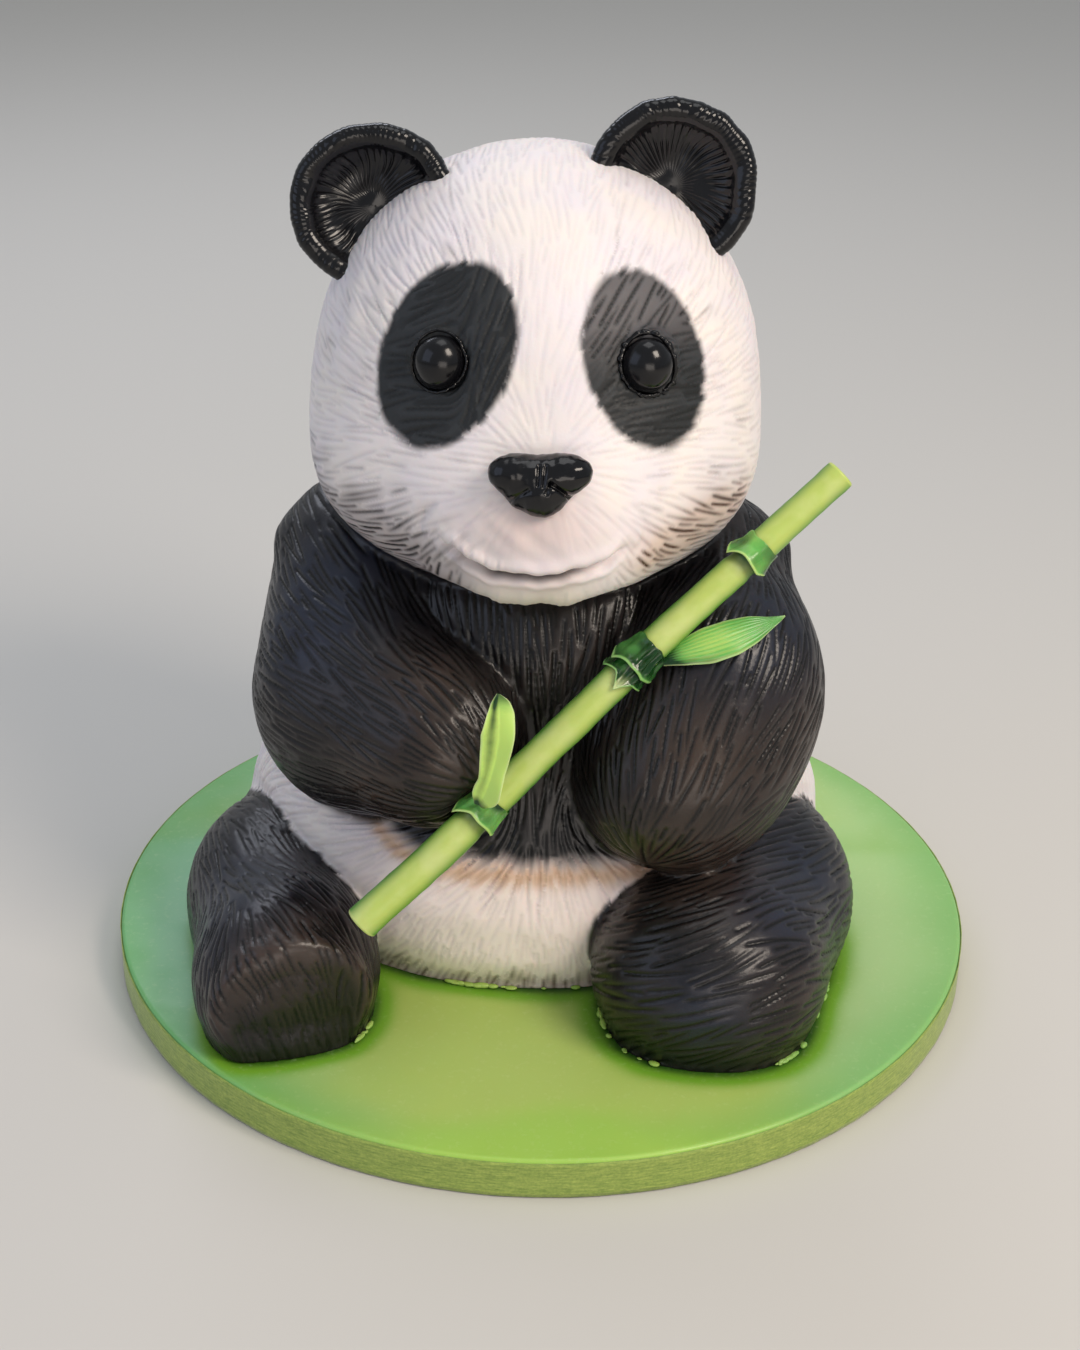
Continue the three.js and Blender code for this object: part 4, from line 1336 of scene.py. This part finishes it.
for name, (joint, start, long, flare, teeth, folds, tone, seed) in SKIRTS.items():
    tooth = sum(
        mm * np.clip(1 - np.abs(np.angle(np.exp(1j * (turn - at)))) / (2 * wide), 0, 1) ** 1.6
        for at, mm, wide in teeth
    )
    lower = JOINTS[joint] + start - tooth + 0.5 * soft_noise(ring, 9, seed)
    upper = JOINTS[joint] + start + long + 0.9 * soft_noise(ring, 8, seed + 10)
    at = lower + (upper - lower) * share
    pinch = folds * np.clip(np.sin(turn * 9 + 3 * soft_noise(ring, 14, seed + 40)), -0.6, 1)
    sheet = np.stack([at, 7 * np.cos(turn) + 0 * at, 7 * np.sin(turn) + 0 * at], -1).reshape(-1, 3)
    crumple = (0.35 * soft_noise(sheet, 5, seed + 20) * (0.5 + folds)).reshape(at.shape)
    lift = 0.35 + flare * ease(0.75, 0.0, share) ** 1.3 + 0.3 * band(share, 0.06, 0.05)
    swell = np.sin(math.pi * np.clip(share, 0.1, 1)) ** 0.7
    lift = lift + (crumple + pinch * ease(0, 0.3, share)) * swell
    thick = 0.9 * np.sqrt(np.clip(share / 0.06, 0, 1)) * np.sqrt(np.clip((1 - share) / 0.1, 0, 1)) + 0.05
    outer = cane_radius(at) + 0.55 + lift
    points = np.concatenate(
        [on_cane(at, outer, turn + 0 * at), on_cane(at, outer - thick, turn + 0 * at)[::-1]]
    )
    lip = band(share, 0.03, 0.05) + 0 * turn
    shade = tone + 0.5 * soft_noise(sheet, 7, seed + 50).reshape(at.shape) * (1.2 - tone)
    shade = shade + 0.4 * ease(0.5, 1, share) * np.cos(turn - 1.0) - 1.2 * lip
    bleached = 0.55 * lip * (0.6 + 0.4 * soft_noise(sheet, 8, seed + 60).reshape(at.shape))
    if name == "skirt_bract":
        bleached = np.maximum(bleached, 0.9 * ease(0.6, 0.0, share) * band(turn, 0.15, 0.22))
    add_leaf_piece(
        name, points, 2 * SKIRT_ROWS, SKIRT_COLUMNS,
        # the inside of the skirt takes the full dark green as painted shade
        np.clip(np.concatenate([shade, 1 + 0 * shade]), 0, 1),
        np.clip(np.concatenate([0.3 + lip, 0 * lip]), 0, 1) * (1 - tone),
        np.clip(np.concatenate([bleached, 0 * bleached]), 0, 1),
        *([] if name == "skirt_bract" else [joint]), loop=True,
    )


BLADE_ROWS, BLADE_COLUMNS = 90, 41


def blade(spine, facing, widths, thick, fold, wave, seed, ribs=0, curl=0.0):
    """A leaf blade: two skins over a bent spine, folded along it, with wavy edges and cut veins."""
    spine = np.asarray(spine, float)
    chord = np.concatenate([[0], np.cumsum(np.linalg.norm(np.diff(spine, axis=0), axis=1))])
    u = np.linspace(0, 1, BLADE_ROWS)
    line = np.stack([np.interp(u * chord[-1], chord, spine[:, i]) for i in range(3)], 1)
    line = smoothed(line, int(BLADE_ROWS * 0.9))
    way = unit(np.gradient(line, axis=0))
    facing = np.asarray(facing, float)
    face = np.stack([np.interp(u, np.linspace(0, 1, len(facing)), facing[:, i]) for i in range(3)], 1)
    side = unit(np.cross(face, way))
    face = np.cross(way, side)
    widths = np.asarray(widths, float)
    left, right = (smoothed(np.interp(u, widths[:, 0], widths[:, i]), 6) for i in (1, 2))
    v = np.linspace(-1, 1, BLADE_COLUMNS)
    v = np.sin(v * math.pi / 2)
    out = np.where(v < 0, v * left[:, None], v * right[:, None])
    height = fold * np.abs(out) - curl * (out / 6) ** 2
    height = height + wave * np.sin(u * 15 + seed)[:, None] * v**2 * np.sign(v)
    vein = 0
    if ribs:
        vein = -0.42 * np.clip(np.cos(v * ribs * math.pi), -0.3, 1) * ease(0.02, 0.15, u)[:, None]
    middle = line[:, None] + out[..., None] * side[:, None] + height[..., None] * face[:, None]
    half = thick / 2 * np.sqrt(np.clip(1 - v**4, 0, 1)) * (1 - 0.5 * u[:, None])
    top = middle + (half + vein * (1 - np.abs(v)))[..., None] * face[:, None]
    bottom = middle - half[..., None] * face[:, None]
    return u, v, top, bottom


def share_of_box(node, shares):
    low, high = box_mm(node)
    return low + np.array(shares) * (high - low)


def add_blade(name, node, spine, facing, widths, thick, fold, deep, light, pale, **shape):
    u, v, top, bottom = blade(spine, facing, widths, thick, fold, **shape)
    points = np.concatenate([top, bottom[:, ::-1]], 1)
    u, v = np.meshgrid(u, np.concatenate([v, v[::-1]]), indexing="ij")
    faces = woven(points.shape[0], points.shape[1], closed_columns=True)[:, ::-1]
    piece = add_piece(name, points.reshape(-1, 3), faces, LEAF_PASTE, "leaf_green", node)
    for mark_name, rule in (("deep", deep), ("light", light), ("pale", pale)):
        hold_attribute(piece, mark_name, np.clip(rule(u, v), 0, 1).ravel())


low_spine = share_of_box(
    "leaf_low",
    [(0.05, 0.5, 0.0), (0.3, 0.2, 0.18), (0.5, 0.1, 0.4), (0.62, 0.15, 0.65), (0.55, 0.6, 1.0)],
)
add_blade(
    "leaf_low_blade", "leaf_low", low_spine,
    [(-0.5, -1, 0.1), (-0.2, -1, 0.2), (0.3, -1, 0.3)],
    [(0, 2.2, 2.0), (0.08, 5.2, 4.6), (0.16, 6.6, 5.0), (0.24, 5.6, 4.4), (0.36, 4.6, 5.0),
     (0.52, 5.2, 6.2), (0.68, 5.6, 6.8), (0.85, 5.4, 4.8), (0.95, 3.6, 2.8), (1.0, 0.4, 0.4)],
    1.6, 0.35,
    lambda u, v: 0.85 * band(v, 0.45, 0.3) * (0.35 + 0.65 * u)
    + 0.8 * ease(0.1, 0.0, u) + 0.7 * ease(0.86, 1, u),
    lambda u, v: 1.0 - 0.5 * ease(0.75, 1, u),
    lambda u, v: 0.65 * ease(0.8, 1, np.abs(v)),
    wave=0.6, seed=2,
)
high_spine = share_of_box(
    "leaf_high",
    [(-0.12, 0.15, -0.1), (0.1, 0.1, 0.2), (0.4, 0.15, 0.5), (0.75, 0.5, 0.72), (1.0, 0.9, 0.8)],
)
add_blade(
    "leaf_high_blade", "leaf_high", high_spine, [(-0.1, -0.75, 0.66), (0.05, -0.7, 0.7)],
    [(0, 2.6, 2.4), (0.15, 5.0, 4.6), (0.35, 7.2, 6.6), (0.55, 7.4, 6.8), (0.72, 5.4, 5.0),
     (0.86, 2.8, 2.4), (0.95, 1.4, 1.2), (1.0, 0.3, 0.3)],
    1.5, -0.12,
    lambda u, v: 0.95 * ease(0.2, 0.02, u) + 0.35 * ease(0.5, 1, u) * (0.4 + 0.6 * np.abs(v))
    + 0.5 * band(v, -0.85, 0.25) * ease(0.7, 0.1, u) + 0.3 * np.clip(np.cos(v * 9 * math.pi), 0, 1),
    lambda u, v: band(u, 0.38, 0.3) * (1 - 0.5 * np.abs(v)) * (0.6 + 0.4 * np.cos(v * 9 * math.pi)),
    lambda u, v: 0.6 * ease(0.85, 1, np.abs(v)) + 0.5 * ease(0.95, 1, u),
    ribs=9, wave=0.5, curl=0.5, seed=3,
)
